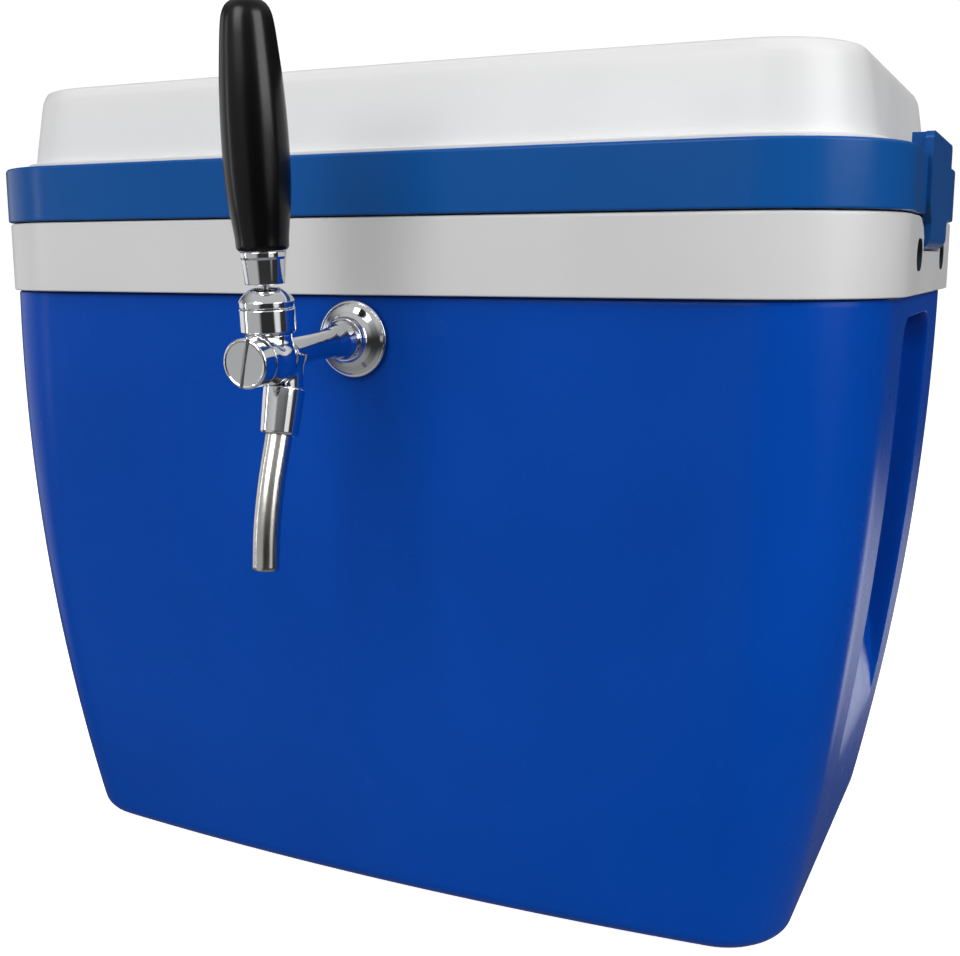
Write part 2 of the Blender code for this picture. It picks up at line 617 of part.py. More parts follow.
def make_lever(frame, chrome, steel, black):
    """The moving lever: ball and stem, chrome ferrule and black handle."""
    u = VALVE_U
    ball_r = 0.0056
    stem_r = 0.0020
    ball = [
        (sqrt(ball_r**2 - d * d), PIVOT_W + d)
        for d in (-0.0053, -0.0042, -0.0022, 0.0, 0.0022, 0.0042, 0.0051)
    ]
    stem = turned("lever_stem", [
        (0.0009, -0.0016), (0.0016, -0.0007), (0.0016, 0.0007), (0.0013, 0.0014), (0.0013, 0.0108),
        *ball, (stem_r, PIVOT_W + 0.0052), (stem_r, 0.0600),
    ], steel, SMALL_ROUND)
    place(stem, (0, -u, 0), parent=frame)
    bore = stem_r + GAP
    ferrule = turned("lever_ferrule", [
        (bore, 0.0298), (0.0078, 0.0298), (0.0081, 0.0304), (0.0088, 0.0395), (0.0093, 0.0412),
        (0.0093, 0.0427), (bore, 0.0427),
    ], chrome, ring=True)
    place(ferrule, (0, -u, 0), parent=frame)
    foot = 0.0430
    grip = turned("tap_handle", [
        (bore, foot + 0.0180), (bore, foot), (0.0098, foot), (0.0105, foot + 0.0008), (0.0107, foot + 0.0050),
        (0.0113, foot + 0.0100), (0.0123, foot + 0.0180), (0.0130, foot + 0.0280), (0.0131, foot + 0.0420),
        (0.0128, foot + 0.0540), (0.0122, foot + 0.0650), (0.0113, foot + 0.0760), (0.0105, foot + 0.0840),
        (0.0096, foot + 0.0890), (0.0080, foot + 0.0922), (0.0055, foot + 0.0940), (0.0025, foot + 0.0948),
    ], black)
    place(grip, (0, -u, 0), parent=frame)


def make_plunger(frame, steel, rubber):
    """The valve plunger in the faucet's bore, slotted for the lever's tip, with a seal near its rear end."""
    u = VALVE_U
    body_r, groove_r = 0.0039, 0.0024
    plunger = turned("valve_plunger", [
        (0.0034, u - 0.0345), (0.0034, u - 0.0325), (groove_r, u - 0.0325), (groove_r, u - 0.0290),
        (body_r, u - 0.0290), (body_r, u + 0.0050),
    ], steel, SMALL_ROUND)
    place(plunger, (0, 0, 0), FORWARD, frame)
    pocket = block("plunger_slot", (-0.0022, -0.0026, -0.0020), (0.0022, 0.0026, 0.0060))
    cut(plunger, place(pocket, (0, -u, 0), parent=frame))
    seal = washer("plunger_seal", groove_r + 0.0002, 0.0040, u - 0.0322, u - 0.0293, rubber, SMALL_ROUND)
    place(seal, (0, 0, 0), FORWARD, frame)


# ---------------------------------------------------------------- the beer line
def make_inlet(steel, rubber):
    """The bulkhead fitting in the back wall: a flanged, bored shank with a hose barb, washers and a nut."""
    wall, inner, end = INLET_WALL_Y, INLET_LINER_Y, INLET_WALL_Y + 0.0240
    bore, foot = BARB_BORE_R, INLET_LINER_Y - 0.0260
    fitting = turned("inlet_fitting", [
        (bore, foot), (SHANK_R, foot), (SHANK_R, wall + 0.0014), (0.0150, wall + 0.0014),
        (0.0150, wall + 0.0050), (0.0070, wall + 0.0056), (0.0070, wall + 0.0100), (0.0058, wall + 0.0130),
        (0.0068, wall + 0.0132), (0.0058, wall + 0.0180), (0.0068, wall + 0.0182), (0.0052, end), (bore, end),
    ], steel, SMALL_ROUND, ring=True)
    seal = washer("inlet_seal", CLAMP_R, 0.0145, wall + 0.0003, wall + 0.0011, rubber, SMALL_ROUND)
    ring = washer("inlet_washer", CLAMP_R, 0.0140, inner - 0.0032, inner - 0.0012, rubber, SMALL_ROUND)
    for piece in (fitting, seal, ring):
        place(piece, (INLET_X, 0, INLET_Z), BACKWARD)
    hex_nut("inlet_nut", INLET_X, INLET_Z, inner - 0.0035, BACKWARD, steel)


def coil_point(turn):
    """A point on the racetrack-shaped coil. Turn 0 is at the middle of the back side, going towards -X."""
    straight, bend = COIL_STRAIGHT, COIL_BEND_R
    round_length = pi * bend
    total = 4 * straight + 2 * round_length
    s = (turn % 1.0) * total
    z = COIL_Z + COIL_PITCH * turn
    if s < straight:
        return Vector((-s, bend, z))
    s -= straight
    if s < round_length:
        a = s / bend
        return Vector((-straight - bend * sin(a), bend * cos(a), z))
    s -= round_length
    if s < 2 * straight:
        return Vector((-straight + s, -bend, z))
    s -= 2 * straight
    if s < round_length:
        a = s / bend
        return Vector((straight + bend * sin(a), -bend * cos(a), z))
    return Vector((straight - (s - round_length), bend, z))


def make_coil(steel):
    """One tube: from the inlet down to the lowest turn, round the coil, and up to the tap's shank."""
    steps, between = 16, 0.014
    turns = [coil_point(k / steps) for k in range(COIL_TURNS * steps + steps // 2 + 1)]
    start, end = turns[0], turns[-1]
    from_inlet = [
        Vector((INLET_X, INLET_LINER_Y - 0.0264, INLET_Z)),
        Vector((INLET_X, INLET_LINER_Y - 0.0330, INLET_Z)),
        Vector((INLET_X, INLET_LINER_Y - 0.0420, INLET_Z - 0.0020)),
        Vector((INLET_X + 0.004, 0.0700, INLET_Z - 0.0250)),
        Vector((INLET_X + 0.010, 0.0780, 0.1850)),
        Vector((INLET_X + 0.014, 0.0880, 0.1200)),
        Vector((INLET_X + 0.012, 0.0890, 0.0700)),
        Vector((0.0920, 0.0830, 0.0440)),
        Vector((0.0600, 0.0712, COIL_Z)),
        Vector((0.0300, COIL_BEND_R, COIL_Z)),
    ]
    to_tap = [
        end + Vector((0.0250, 0.0030, 0.0060)),
        Vector((0.0420, -0.0560, 0.1750)),
        Vector((0.0250, -0.0520, 0.2350)),
        Vector((TAP_X + 0.0030, -0.0680, 0.2735)),
        Vector((TAP_X, -0.0830, TAP_Z)),
        Vector((TAP_X, -0.0958, TAP_Z)),
    ]
    lead_in = curve_through(from_inlet + [start], between)[:-1]
    lead_out = curve_through([end] + to_tap, between)[1:]
    tube("cooling_coil", lead_in + turns + lead_out, COIL_TUBE_R, COIL_BORE_R, 8, steel)


def make_coil_strap(name, x, y, finish):
    """A band around all the turns of one straight side, on a foot that stands on the tub's floor."""
    low = COIL_Z - COIL_TUBE_R - 0.0006
    high = COIL_Z + COIL_PITCH * (COIL_TURNS + 0.5) + COIL_TUBE_R + 0.0008
    reach = COIL_TUBE_R + 0.0007
    plate, half_width = 0.0012, 0.0050
    rows = []
    for grow, dx in ((0.0, -half_width), (plate, -half_width), (plate, half_width), (0.0, half_width)):
        near, far, bottom, top = y - reach - grow, y + reach + grow, low - grow, high + grow
        rows.append([(x + dx, py, pz) for py, pz in ((near, bottom), (far, bottom), (far, top), (near, top))])
    strap = loft(name, rows, finish, ring=True)
    foot_low, foot_high = Z_FLOOR + GAP, low - plate / 2
    join(strap, block(
        f"{name}_foot", (x - half_width, y - reach, foot_low), (x + half_width, y + reach, foot_high)
    ))


def make_line_nuts(steel):
    """The two union nuts that clamp the coil's ends to the shank and to the inlet."""
    bore = COIL_TUBE_R + GAP
    for name, x, z, turn, reach in (
        ("coil_outlet_nut", TAP_X, TAP_Z, FORWARD, SHANK_FOOT),
        ("coil_inlet_nut", INLET_X, INLET_Z, BACKWARD, INLET_LINER_Y - 0.0260),
    ):
        low, seat, high = reach - 0.0070, reach - 0.0010, reach + 0.0060
        nut = turned(name, [
            (bore, low), (0.0105, low), (0.0112, low + 0.0010), (0.0112, high), (CLAMP_R, high),
            (CLAMP_R, seat), (bore, seat),
        ], steel, SMALL_ROUND, ring=True)
        place(nut, (x, 0, z), turn)


# ---------------------------------------------------------------- assembly
def hole_through_wall(name, x, z, turn):
    """A cutter along Y through the shell, foam and liner."""
    return place(turned(name, [(WALL_HOLE_R, 0.10), (WALL_HOLE_R, 0.16)]), (x, 0, z), turn)


def main():
    clear_scene()
    blue = material("blue_plastic", (0.012, 0.065, 0.32), 0.35)
    rim_blue = material("rim_blue_plastic", (0.015, 0.085, 0.30), 0.35)
    pale = material("pale_plastic", (0.58, 0.58, 0.58), 0.40)
    white = material("white_plastic", (0.72, 0.72, 0.72), 0.40)
    foam = material("foam", (0.80, 0.78, 0.70), 0.90)
    chrome = material("chrome", (0.80, 0.80, 0.82), 0.08, 1.0)
    steel = material("stainless_steel", (0.62, 0.61, 0.58), 0.28, 1.0)
    black = material("black_handle", (0.008, 0.008, 0.008), 0.18)
    rubber = material("rubber", (0.03, 0.03, 0.03), 0.70)

    walls = (make_outer_shell(blue), make_body_foam(foam), make_inner_liner(white))
    for wall in walls:
        cut(wall, hole_through_wall(f"tap_hole_{wall.name}", TAP_X, TAP_Z, FORWARD))
        cut(wall, hole_through_wall(f"inlet_hole_{wall.name}", INLET_X, INLET_Z, BACKWARD))
    make_collar(pale)
    for side, end in ((1, "right"), (-1, "left")):
        make_handle(side, end, rim_blue, steel)
    make_lid(rim_blue, white, white, foam)

    frame = bpy.data.objects.new("faucet_frame", None)
    bpy.context.scene.collection.objects.link(frame)
    place(frame, (TAP_X, FAUCET_Y, TAP_Z), (TAP_TILT, 0, 0))
    make_shank(chrome, steel, rubber)
    make_faucet(frame, chrome)
    make_spout(steel)
    make_lever(frame, chrome, steel, black)
    make_plunger(frame, steel, rubber)
    make_inlet(steel, rubber)
    make_coil(steel)
    for x, end in ((STRAP_X, "right"), (-STRAP_X, "left")):
        make_coil_strap(f"coil_strap_front_{end}", x, -COIL_BEND_R, steel)
        make_coil_strap(f"coil_strap_back_{end}", x, COIL_BEND_R, steel)
    make_line_nuts(steel)


main()
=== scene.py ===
from math import ceil, copysign, cos, pi, radians, sin, sqrt

import bmesh
import bpy
import numpy as np
from mathutils import Matrix, Vector


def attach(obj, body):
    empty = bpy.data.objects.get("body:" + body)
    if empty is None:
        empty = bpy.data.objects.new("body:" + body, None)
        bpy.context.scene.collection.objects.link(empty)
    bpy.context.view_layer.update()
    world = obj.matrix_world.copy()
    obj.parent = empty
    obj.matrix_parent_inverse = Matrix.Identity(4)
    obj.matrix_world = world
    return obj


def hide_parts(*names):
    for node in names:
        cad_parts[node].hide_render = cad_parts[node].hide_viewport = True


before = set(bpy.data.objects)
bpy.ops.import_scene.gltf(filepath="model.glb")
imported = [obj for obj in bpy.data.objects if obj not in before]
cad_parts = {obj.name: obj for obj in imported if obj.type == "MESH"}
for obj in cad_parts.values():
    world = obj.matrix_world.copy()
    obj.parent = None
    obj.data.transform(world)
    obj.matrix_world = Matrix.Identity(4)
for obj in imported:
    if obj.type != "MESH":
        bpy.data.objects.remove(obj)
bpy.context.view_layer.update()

# ---------------------------------------------------------------- dimensions, as in part.py
RIM_HALF_X, RIM_HALF_Y, RIM_BOW, RIM_CORNER = 0.235, 0.147, 0.003, 0.062
PLAN_OFFSET = RIM_HALF_X - RIM_HALF_Y
Z_FLOOR, Z_COLLAR, Z_SEAM, Z_RIM, Z_LEDGE, Z_DOME = 0.024, 0.2941, 0.3287, 0.3561, 0.3588, 0.3990
BODY_HALF_X, BODY_HALF_Y, BODY_CORNER, BODY_CORNER_BASE = 0.2295, 0.142, 0.052, 0.030
BODY_END_TAPER, BODY_END_CURVE, BODY_SIDE_CURVE, BODY_BOW_GROWTH = 0.0033, 0.0300, 0.0245, 0.0077
BASE_ROUNDING, SHELL_WALL = 0.008, 0.0028
LINER_TOP = (0.2105, 0.1225, 0.040, 0.0030)        # half length, half width, corner, bow
LINER_BASE = (0.1800, 0.1060, 0.034, 0.0070)
LINER_WALL, LINER_ROUNDING, LINER_BRIM = 0.0020, 0.010, 0.2190
RECESS_HALF_Y, RECESS_BOTTOM, RECESS_TOP, RECESS_DEPTH = 0.054, 0.068, 0.284, 0.013
RECESS_RAMP, RECESS_CORNER, RECESS_DRAFT = 0.075, 0.020, 0.0035
PIVOT_X, PIVOT_Z, BARREL_R = 0.2312, 0.3195, 0.0055
HANDLE_OUTER_X, HANDLE_HALF_Y, HANDLE_TOP = PIVOT_X + BARREL_R, 0.045, 0.3650
TAP_X, TAP_Z, TAP_TILT = 0.0030, 0.2745, radians(4.0)
WALL_Y, LINER_Y, FAUCET_Y = -0.1450, -0.1229, -0.1560
VALVE_U, BALL_R, PIVOT_W = 0.0565, 0.0110, 0.0165
SPOUT_U, SPOUT_W, SPOUT_LEAN, SOCKET_FOOT = 0.0440, -0.0008, radians(14.0), 0.0331
SPOUT_BEND = ((-0.2140, 0.2200), (-0.2182, 0.2020), (-0.2200, 0.1840))
INLET_X, INLET_Z, INLET_WALL_Y, INLET_LINER_Y = 0.1000, 0.2500, 0.1448, 0.1213
WALL_HOLE_R, THREAD_R, FITTING_BORE_R = 0.0086, 0.0080, 0.0035
COIL_R, COIL_BORE_R, COIL_BEND_R, COIL_STRAIGHT = 0.0040, 0.0032, 0.070, 0.060
COIL_TURNS, COIL_PITCH, COIL_Z = 8, 0.0115, 0.0360
STRAP_X = 0.0400
GAP = 0.0003

CORNER_STEPS = 14
ENDS = ((1, "right"), (-1, "left"))
FORWARD = Matrix.Rotation(pi / 2, 4, "X")       # turns a lathe's own +Z to face forward, -Y
BACKWARD = Matrix.Rotation(-pi / 2, 4, "X")
AT_WALL = Matrix.Translation((TAP_X, 0, TAP_Z)) @ FORWARD
AT_INLET = Matrix.Translation((INLET_X, 0, INLET_Z)) @ BACKWARD


# ---------------------------------------------------------------- mesh helpers
def to_object(name, mesh, finish):
    mesh.materials.append(finish)
    made = bpy.data.objects.new(name, mesh)
    bpy.context.scene.collection.objects.link(made)
    return made


def from_bm(name, bm, finish):
    bmesh.ops.recalc_face_normals(bm, faces=bm.faces)
    mesh = bpy.data.meshes.new(name)
    bm.to_mesh(mesh)
    bm.free()
    mesh.shade_smooth()
    return to_object(name, mesh, finish)


def loft(name, loops, finish, ring=False):
    """Bridges loops of equal length. A ring closes on itself, and anything else is capped."""
    bm = bmesh.new()
    rows = [[bm.verts.new(point) for point in loop] for loop in loops]
    following = rows[1:] + rows[:1] if ring else rows[1:]
    for low, high in zip(rows, following):
        for i in range(len(low)):
            j = (i + 1) % len(low)
            bm.faces.new((low[i], low[j], high[j], high[i]))
    if not ring:
        bm.faces.new(rows[0][::-1])
        bm.faces.new(rows[-1])
    return from_bm(name, bm, finish)


def fillet(points, steps=4, ring=False):
    """A 2-D polyline whose corners are rounded. A point is (a, b), or (a, b, radius)."""
    result = []
    count = len(points)
    for i, point in enumerate(points):
        here = Vector(point[:2])
        radius = point[2] if len(point) > 2 else 0.0
        if not radius or (not ring and i in (0, count - 1)):
            result.append(tuple(here))
            continue
        back = Vector(points[i - 1][:2]) - here
        ahead = Vector(points[(i + 1) % count][:2]) - here
        back.normalize()
        ahead.normalize()
        half = back.angle(ahead) / 2
        reach = radius / max(1e-6, np.tan(half))
        centre = here + (back + ahead).normalized() * radius / sin(half)
        first, last = here + back * reach - centre, here + ahead * reach - centre
        turn = first.angle_signed(last)
        for k in range(steps + 1):
            arm = first.copy()
            arm.rotate(Matrix.Rotation(-turn * k / steps, 2))
            result.append(tuple(centre + arm))
    return result


def sweep(name, profile, finish, ring=False):
    """Lofts the rim's plan along a profile of (half length, height, rounding)."""
    loops = [band(half_x, z) for half_x, z in fillet(profile, ring=ring)]
    return loft(name, loops, finish, ring)


def lathe(name, profile, finish, matrix=Matrix(), steps=64, ring=True, rounding=4):
    """A turned solid about its own Z axis. The profile is a list of (radius, height, rounding)."""
    angles = [2 * pi * i / steps for i in range(steps)]
    loops = [
        [(r * cos(a), r * sin(a), h) for a in angles] for r, h in fillet(profile, rounding, ring)
    ]
    made = loft(name, loops, finish, ring)
    made.data.transform(matrix)
    return made


def smooth_curve(points, step):
    """Points about one step apart on a smooth curve through the given points, of any dimension."""
    points = [Vector(p) for p in points]
    result = []
    count = len(points)
    for i in range(count - 1):
        p1, p2 = points[i], points[i + 1]
        p0 = points[i - 1] if i else p1 * 2 - p2
        p3 = points[i + 2] if i + 2 < count else p2 * 2 - p1
        parts = max(1, ceil((p2 - p1).length / step))
        for k in range(parts):
            t = k / parts
            result.append(
                p1 * (2 - 5 * t * t + 3 * t**3) / 2 + p2 * (t + 4 * t * t - 3 * t**3) / 2
                + p0 * (2 * t * t - t - t**3) / 2 + p3 * (t**3 - t * t) / 2
            )
    return result + [points[-1]]


def tube(name, path, radius, bore, facets, finish):
    """A bored tube along a path, with its ends' edges rounded a little."""
    count = len(path)
    frames = []
    side = Vector((1, 0, 0))
    for k, point in enumerate(path):
        along = (path[min(k + 1, count - 1)] - path[max(k - 1, 0)]).normalized()
        side = (side - along * side.dot(along)).normalized()
        frames.append((point, side.copy(), along.cross(side)))
    angles = [2 * pi * i / facets for i in range(facets)]

    def loop(k, r, shift=0.0):
        point, u, v = frames[k]
        along = u.cross(v) * shift
        return [tuple(point + along + r * (u * cos(a) + v * sin(a))) for a in angles]

    edge, last = (radius - bore) * 0.3, count - 1
    outside = [loop(0, radius - edge), loop(0, radius, edge)]
    outside += [loop(k, radius) for k in range(1, last)]
    outside += [loop(last, radius, -edge), loop(last, radius - edge)]
    inside = [loop(k, bore) for k in range(last, -1, -1)]
    return loft(name, outside + inside, finish, ring=True)


def prism(name, points, depth, finish):
    """A flat outline pushed along a vector."""
    shift = Vector(depth)
    return loft(name, [points, [tuple(Vector(p) + shift) for p in points]], finish)


def block(name, low, high, finish):
    (x0, y0, z0), (x1, y1, z1) = low, high
    foot = [(x0, y0, z0), (x1, y0, z0), (x1, y1, z0), (x0, y1, z0)]
    return prism(name, foot, (0, 0, z1 - z0), finish)


def apply(obj):
    """Turns an object's modifiers into its mesh."""
    bpy.context.view_layer.update()
    evaluated = obj.evaluated_get(bpy.context.evaluated_depsgraph_get())
    mesh = bpy.data.meshes.new_from_object(evaluated)
    obj.modifiers.clear()
    obj.data = mesh
    return obj


def combine(obj, others, operation):
    """Cuts the others out of the object, or adds them to it, and removes them."""
    for other in others:
        modifier = obj.modifiers.new(operation, "BOOLEAN")
        modifier.operation = operation
        modifier.solver = "EXACT"
        modifier.object = other
    apply(obj)
    for other in others:
        bpy.data.objects.remove(other)


def soften(obj, width, segments=3, angle=32):
    """Rounds the object's sharp edges."""
    bm = bmesh.new()
    bm.from_mesh(obj.data)
    bmesh.ops.remove_doubles(bm, verts=bm.verts, dist=1e-6)
    bmesh.ops.dissolve_limit(
        bm, angle_limit=radians(0.05), verts=bm.verts, edges=bm.edges, delimit={"MATERIAL"}
    )
    bm.to_mesh(obj.data)
    bm.free()
    modifier = obj.modifiers.new("bevel", "BEVEL")
    modifier.width = width
    modifier.segments = segments
    modifier.limit_method = "ANGLE"
    modifier.angle_limit = radians(angle)
    modifier.use_clamp_overlap = True
    modifier.harden_normals = False
    apply(obj)
    obj.data.shade_smooth()


def weigh(obj):
    """Lets large flat faces set the shading, so that only roundings look round."""
    modifier = obj.modifiers.new("normals", "WEIGHTED_NORMAL")
    modifier.weight = 90
    return apply(obj)


def mirrored(name, obj):
    """A copy at the box's other end."""
    mesh = obj.data.copy()
    mesh.transform(Matrix.Diagonal((-1, 1, 1, 1)))
    mesh.flip_normals()
    mesh.name = name
    made = bpy.data.objects.new(name, mesh)
    bpy.context.scene.collection.objects.link(made)
    return made


def settle(obj, body, slot, *nodes):
    """Hands a finished piece to the frame, in place of its CAD nodes."""
    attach(obj, body)
    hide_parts(*nodes)


def turned(node, profile, finish, slot, matrix, steps, body="cooler", **options):
    """A turned piece that stands for a CAD node."""
    settle(weigh(lathe(f"{node}_v", profile, finish, matrix, steps, **options)), body, slot, node)


def bore_walls(obj, finish):
    """Cuts the tap's hole through a front wall and the inlet's through a back wall."""
    profile = [(WALL_HOLE_R, 0.10), (WALL_HOLE_R, 0.16)]        # from inside the liner to outside
    places = (AT_WALL, AT_INLET)
    holes = [lathe("wall_hole", profile, finish, place, ring=False) for place in places]
    combine(obj, holes, "DIFFERENCE")


# ---------------------------------------------------------------- materials
class Nodes:
    """A small builder for one procedural material."""

    def __init__(self, name, color, roughness, metallic=0.0, specular=0.5):
        self.material = bpy.data.materials.new(name)
        self.material.use_nodes = True
        self.tree = self.material.node_tree
        self.shader = self.tree.nodes["Principled BSDF"]
        self.set("Base Color", (*color, 1.0))
        self.set("Roughness", roughness)
        self.set("Metallic", metallic)
        self.set("Specular IOR Level", specular)
        self.place = self.add("ShaderNodeTexCoord").outputs["Object"]

    def set(self, socket, value):
        self.shader.inputs[socket].default_value = value

    def add(self, kind, **inputs):
        node = self.tree.nodes.new(kind)
        for key, value in inputs.items():
            if isinstance(value, bpy.types.NodeSocket):
                self.tree.links.new(value, node.inputs[key])
            else:
                node.inputs[key].default_value = value
        return node

    def link(self, output, socket):
        self.tree.links.new(output, self.shader.inputs[socket])

    def noise(self, scale, detail=3.0, stretch=None):
        """Noise with so many features to the metre."""
        place = self.place
        if stretch:
            mapping = self.add("ShaderNodeMapping", Vector=place)
            mapping.inputs["Scale"].default_value = stretch
            place = mapping.outputs["Vector"]
        node = self.add("ShaderNodeTexNoise", Vector=place, Scale=scale, Detail=detail)
        return node.outputs["Fac"]

    def range(self, value, low, high, start=0.3, end=0.7):
        """Maps start..end, by default the span that noise mostly keeps to, to low..high."""
        node = self.tree.nodes.new("ShaderNodeMapRange")
        self.tree.links.new(value, node.inputs[0])
        for i, number in enumerate((start, end, low, high), 1):
            node.inputs[i].default_value = number
        return node.outputs[0]

    def blend(self, factor, first, second):
        """A colour between two."""
        node = self.tree.nodes.new("ShaderNodeMix")
        node.data_type = "RGBA"
        self.tree.links.new(factor, node.inputs[0])
        node.inputs[6].default_value = (*first, 1.0)
        node.inputs[7].default_value = (*second, 1.0)
        return node.outputs[2]

    def bump(self, height, distance, normal=None):
        node = self.add("ShaderNodeBump", Height=height, Distance=distance, Strength=1.0)
        if normal is not None:
            self.tree.links.new(normal, node.inputs["Normal"])
        return node.outputs["Normal"]


def plastic(name, color, roughness, shade=0.06, grain=0.00002, grain_scale=1500.0, flow=0.00012,
            shine=0.5):
    """Moulded plastic: slow changes of shade and gloss, a fine grain and the mould's waviness.
    Grain and flow are the depths of the grain and of the waviness."""
    n = Nodes(name, color, roughness, 0.0, shine)
    slow = n.noise(9.0, 2.0)
    darker = tuple(c * (1 - shade) for c in color)
    lighter = tuple(min(1.0, c * (1 + shade)) for c in color)
    n.link(n.blend(n.range(slow, 0.0, 1.0), darker, lighter), "Base Color")
    n.link(n.range(n.noise(28.0, 4.0), roughness * 0.88, roughness * 1.14), "Roughness")
    wavy = n.bump(n.noise(16.0, 1.0), flow)
    n.link(n.bump(n.noise(grain_scale, 2.0), grain, wavy), "Normal")
    return n.material


def chrome(name, color=(0.80, 0.81, 0.83), roughness=0.06):
    """Polished plating with faint wipe marks."""
    n = Nodes(name, color, roughness, 1.0)
    smudge = n.noise(120.0, 4.0, (1.0, 1.0, 0.3))
    n.link(n.range(smudge, roughness * 0.6, roughness * 1.9), "Roughness")
    n.link(n.bump(n.noise(260.0, 2.0), 0.000004), "Normal")
    return n.material


def brushed(name, color, roughness, stretch=(1.0, 1.0, 0.03), scale=2200.0, depth=0.000006):
    """Steel with fine lines along or around the piece."""
    n = Nodes(name, color, roughness, 1.0)
    lines = n.noise(scale, 2.0, stretch)
    n.link(n.range(lines, roughness * 0.8, roughness * 1.25), "Roughness")
    n.link(n.bump(lines, depth), "Normal")
    tint = n.range(n.noise(60.0, 3.0), 0.0, 1.0)
    n.link(n.blend(tint, tuple(c * 0.93 for c in color), color), "Base Color")
    return n.material


def rubber(name):
    n = Nodes(name, (0.022, 0.022, 0.024), 0.62, 0.0, 0.35)
    n.link(n.range(n.noise(90.0, 4.0), 0.5, 0.75), "Roughness")
    n.link(n.bump(n.noise(1400.0, 3.0), 0.00003), "Normal")
    return n.material


def foam(name):
    n = Nodes(name, (0.80, 0.72, 0.50), 0.85, 0.0, 0.2)
    cells = n.add("ShaderNodeTexVoronoi", Vector=n.place, Scale=900.0).outputs["Distance"]
    n.link(n.bump(cells, 0.0003), "Normal")
    shade = n.range(cells, 0.0, 1.0, 0.0, 0.8)
    n.link(n.blend(shade, (0.66, 0.57, 0.36), (0.84, 0.77, 0.56)), "Base Color")
    return n.material


BLUE = plastic("blue_body_finish", (0.0012, 0.057, 0.380), 0.26, shine=0.07)
TRIM = plastic("blue_trim_finish", (0.0056, 0.077, 0.295), 0.24, grain=0.00001, shine=0.12)
PALE = plastic("pale_collar_finish", (0.625, 0.625, 0.625), 0.34, 0.02)
WHITE = plastic("white_lid_finish", (0.690, 0.690, 0.690), 0.40, 0.015, 0.00004, 700.0)
LINER = plastic("white_liner_finish", (0.800, 0.805, 0.800), 0.26, 0.015, 0.00001)
# painted shade: a near-black finish for the walls and floors of the collar's slots, standing in for
# the shadow inside them
PAINTED_SHADE = plastic("painted_slot_shade_finish", (0.020, 0.030, 0.045), 0.55)
BLACK = plastic("black_handle_finish", (0.0022, 0.0022, 0.0024), 0.24, 0.10, 0.000006, 900.0,
                0.00006, shine=0.28)
CHROME = chrome("chrome_finish")
SPOUT_STEEL = brushed("spout_steel_finish", (0.62, 0.61, 0.58), 0.20)
STEEL = brushed("stainless_steel_finish", (0.60, 0.59, 0.57), 0.26, (1.0, 1.0, 1.0), 700.0)
COIL_STEEL = brushed("coil_steel_finish", (0.64, 0.63, 0.61), 0.22, (0.15, 0.15, 1.0), 900.0)
RUBBER = rubber("rubber_finish")
FOAM = foam("foam_finish")


# ---------------------------------------------------------------- plan outlines
def spread(low, high, count):
    """Interior points, evenly spaced."""
    return [low + (high - low) * k / (count + 1) for k in range(1, count + 1)]


def outline(half_x, half_y, corner, bow, z, end_ys=None, front_xs=None, back_xs=None):
    """One level of the box's plan: a rounded rectangle whose long sides bow outwards."""
    edge_x, edge_y = half_x - corner, half_y - corner
    sides = (                                   # right end, back, left end, front
        [(half_x, y) for y in (end_ys or spread)(-edge_y, edge_y, 5)],
        [(x, half_y) for x in (back_xs or spread)(-edge_x, edge_x, 23)][::-1],
        [(-half_x, y) for y in (end_ys or spread)(-edge_y, edge_y, 5)][::-1],
        [(x, -half_y) for x in (front_xs or spread)(-edge_x, edge_x, 23)],
    )
    points = []
    for k, (sx, sy) in enumerate(((1, -1), (1, 1), (-1, 1), (-1, -1))):
        start = -90 + 90 * k
        for i in range(CORNER_STEPS + 1):
            a = radians(start + 90 * i / CORNER_STEPS)
            points.append((sx * edge_x + corner * cos(a), sy * edge_y + corner * sin(a)))
        points += sides[k]
    return [(x, y + copysign(bow * max(0, 1 - (x / half_x) ** 2), y), z) for x, y in points]


def band(half_x, z):
    """A level of the collar or lid, which follow the rim's plan at a constant inset."""
    corner = max(0.020, RIM_CORNER - (RIM_HALF_X - half_x))
    return outline(half_x, half_x - PLAN_OFFSET, corner, RIM_BOW, z)


def liner_level(z, grow=0.0):
    """A level of the liner's inner face, or of one that stands outside it by grow."""
    t = (z - Z_FLOOR) / (Z_SEAM - Z_FLOOR)
    half_x, half_y, corner, bow = (a + (b - a) * t for a, b in zip(LINER_BASE, LINER_TOP))
    return outline(half_x + grow, half_y + grow, corner + grow, bow, z)


# ---------------------------------------------------------------- the outer shell
def recess_depth(y, z, grow):
    """How far the hand recess goes into an end. Its walls have draft; it runs out at its foot."""
    middle, half_height = (RECESS_TOP + RECESS_BOTTOM) / 2, (RECESS_TOP - RECESS_BOTTOM) / 2
    qy = abs(y) - (RECESS_HALF_Y - RECESS_CORNER)
    qz = abs(z - middle) - (half_height - RECESS_CORNER)
    beyond = sqrt(max(qy, 0.0) ** 2 + max(qz, 0.0) ** 2)
    edge = min(max(qy, qz), 0.0) + beyond - RECESS_CORNER - grow
    wall = min(1.0, max(0.0, -edge / RECESS_DRAFT))
    ramp = min(1.0, max(0.0, (z - RECESS_BOTTOM) / RECESS_RAMP))
    return RECESS_DEPTH * ramp * ramp * (3 - 2 * ramp) * wall * wall * (3 - 2 * wall)


def recess_ys(_low, high, _count):
    """Where the ends are sampled: closely over the recess's walls and corners."""
    half = [0.0, 0.008, 0.016, 0.024] + [0.031 + 0.001 * k for k in range(18)]
    half += [0.0495 + 0.0005 * k for k in range(12)]
    outer = spread(0.0556, high, 3)
    return [-y for y in outer[::-1] + half[:0:-1]] + half + outer


def front_samples(low, high, _count):
    """Where the front is sampled: on the tap's axis, close outside its hole, and evenly beyond."""
    near = [TAP_X - 0.0125, TAP_X, TAP_X + 0.0125]
    return spread(low, near[0], 10) + near + spread(near[-1], high, 10)


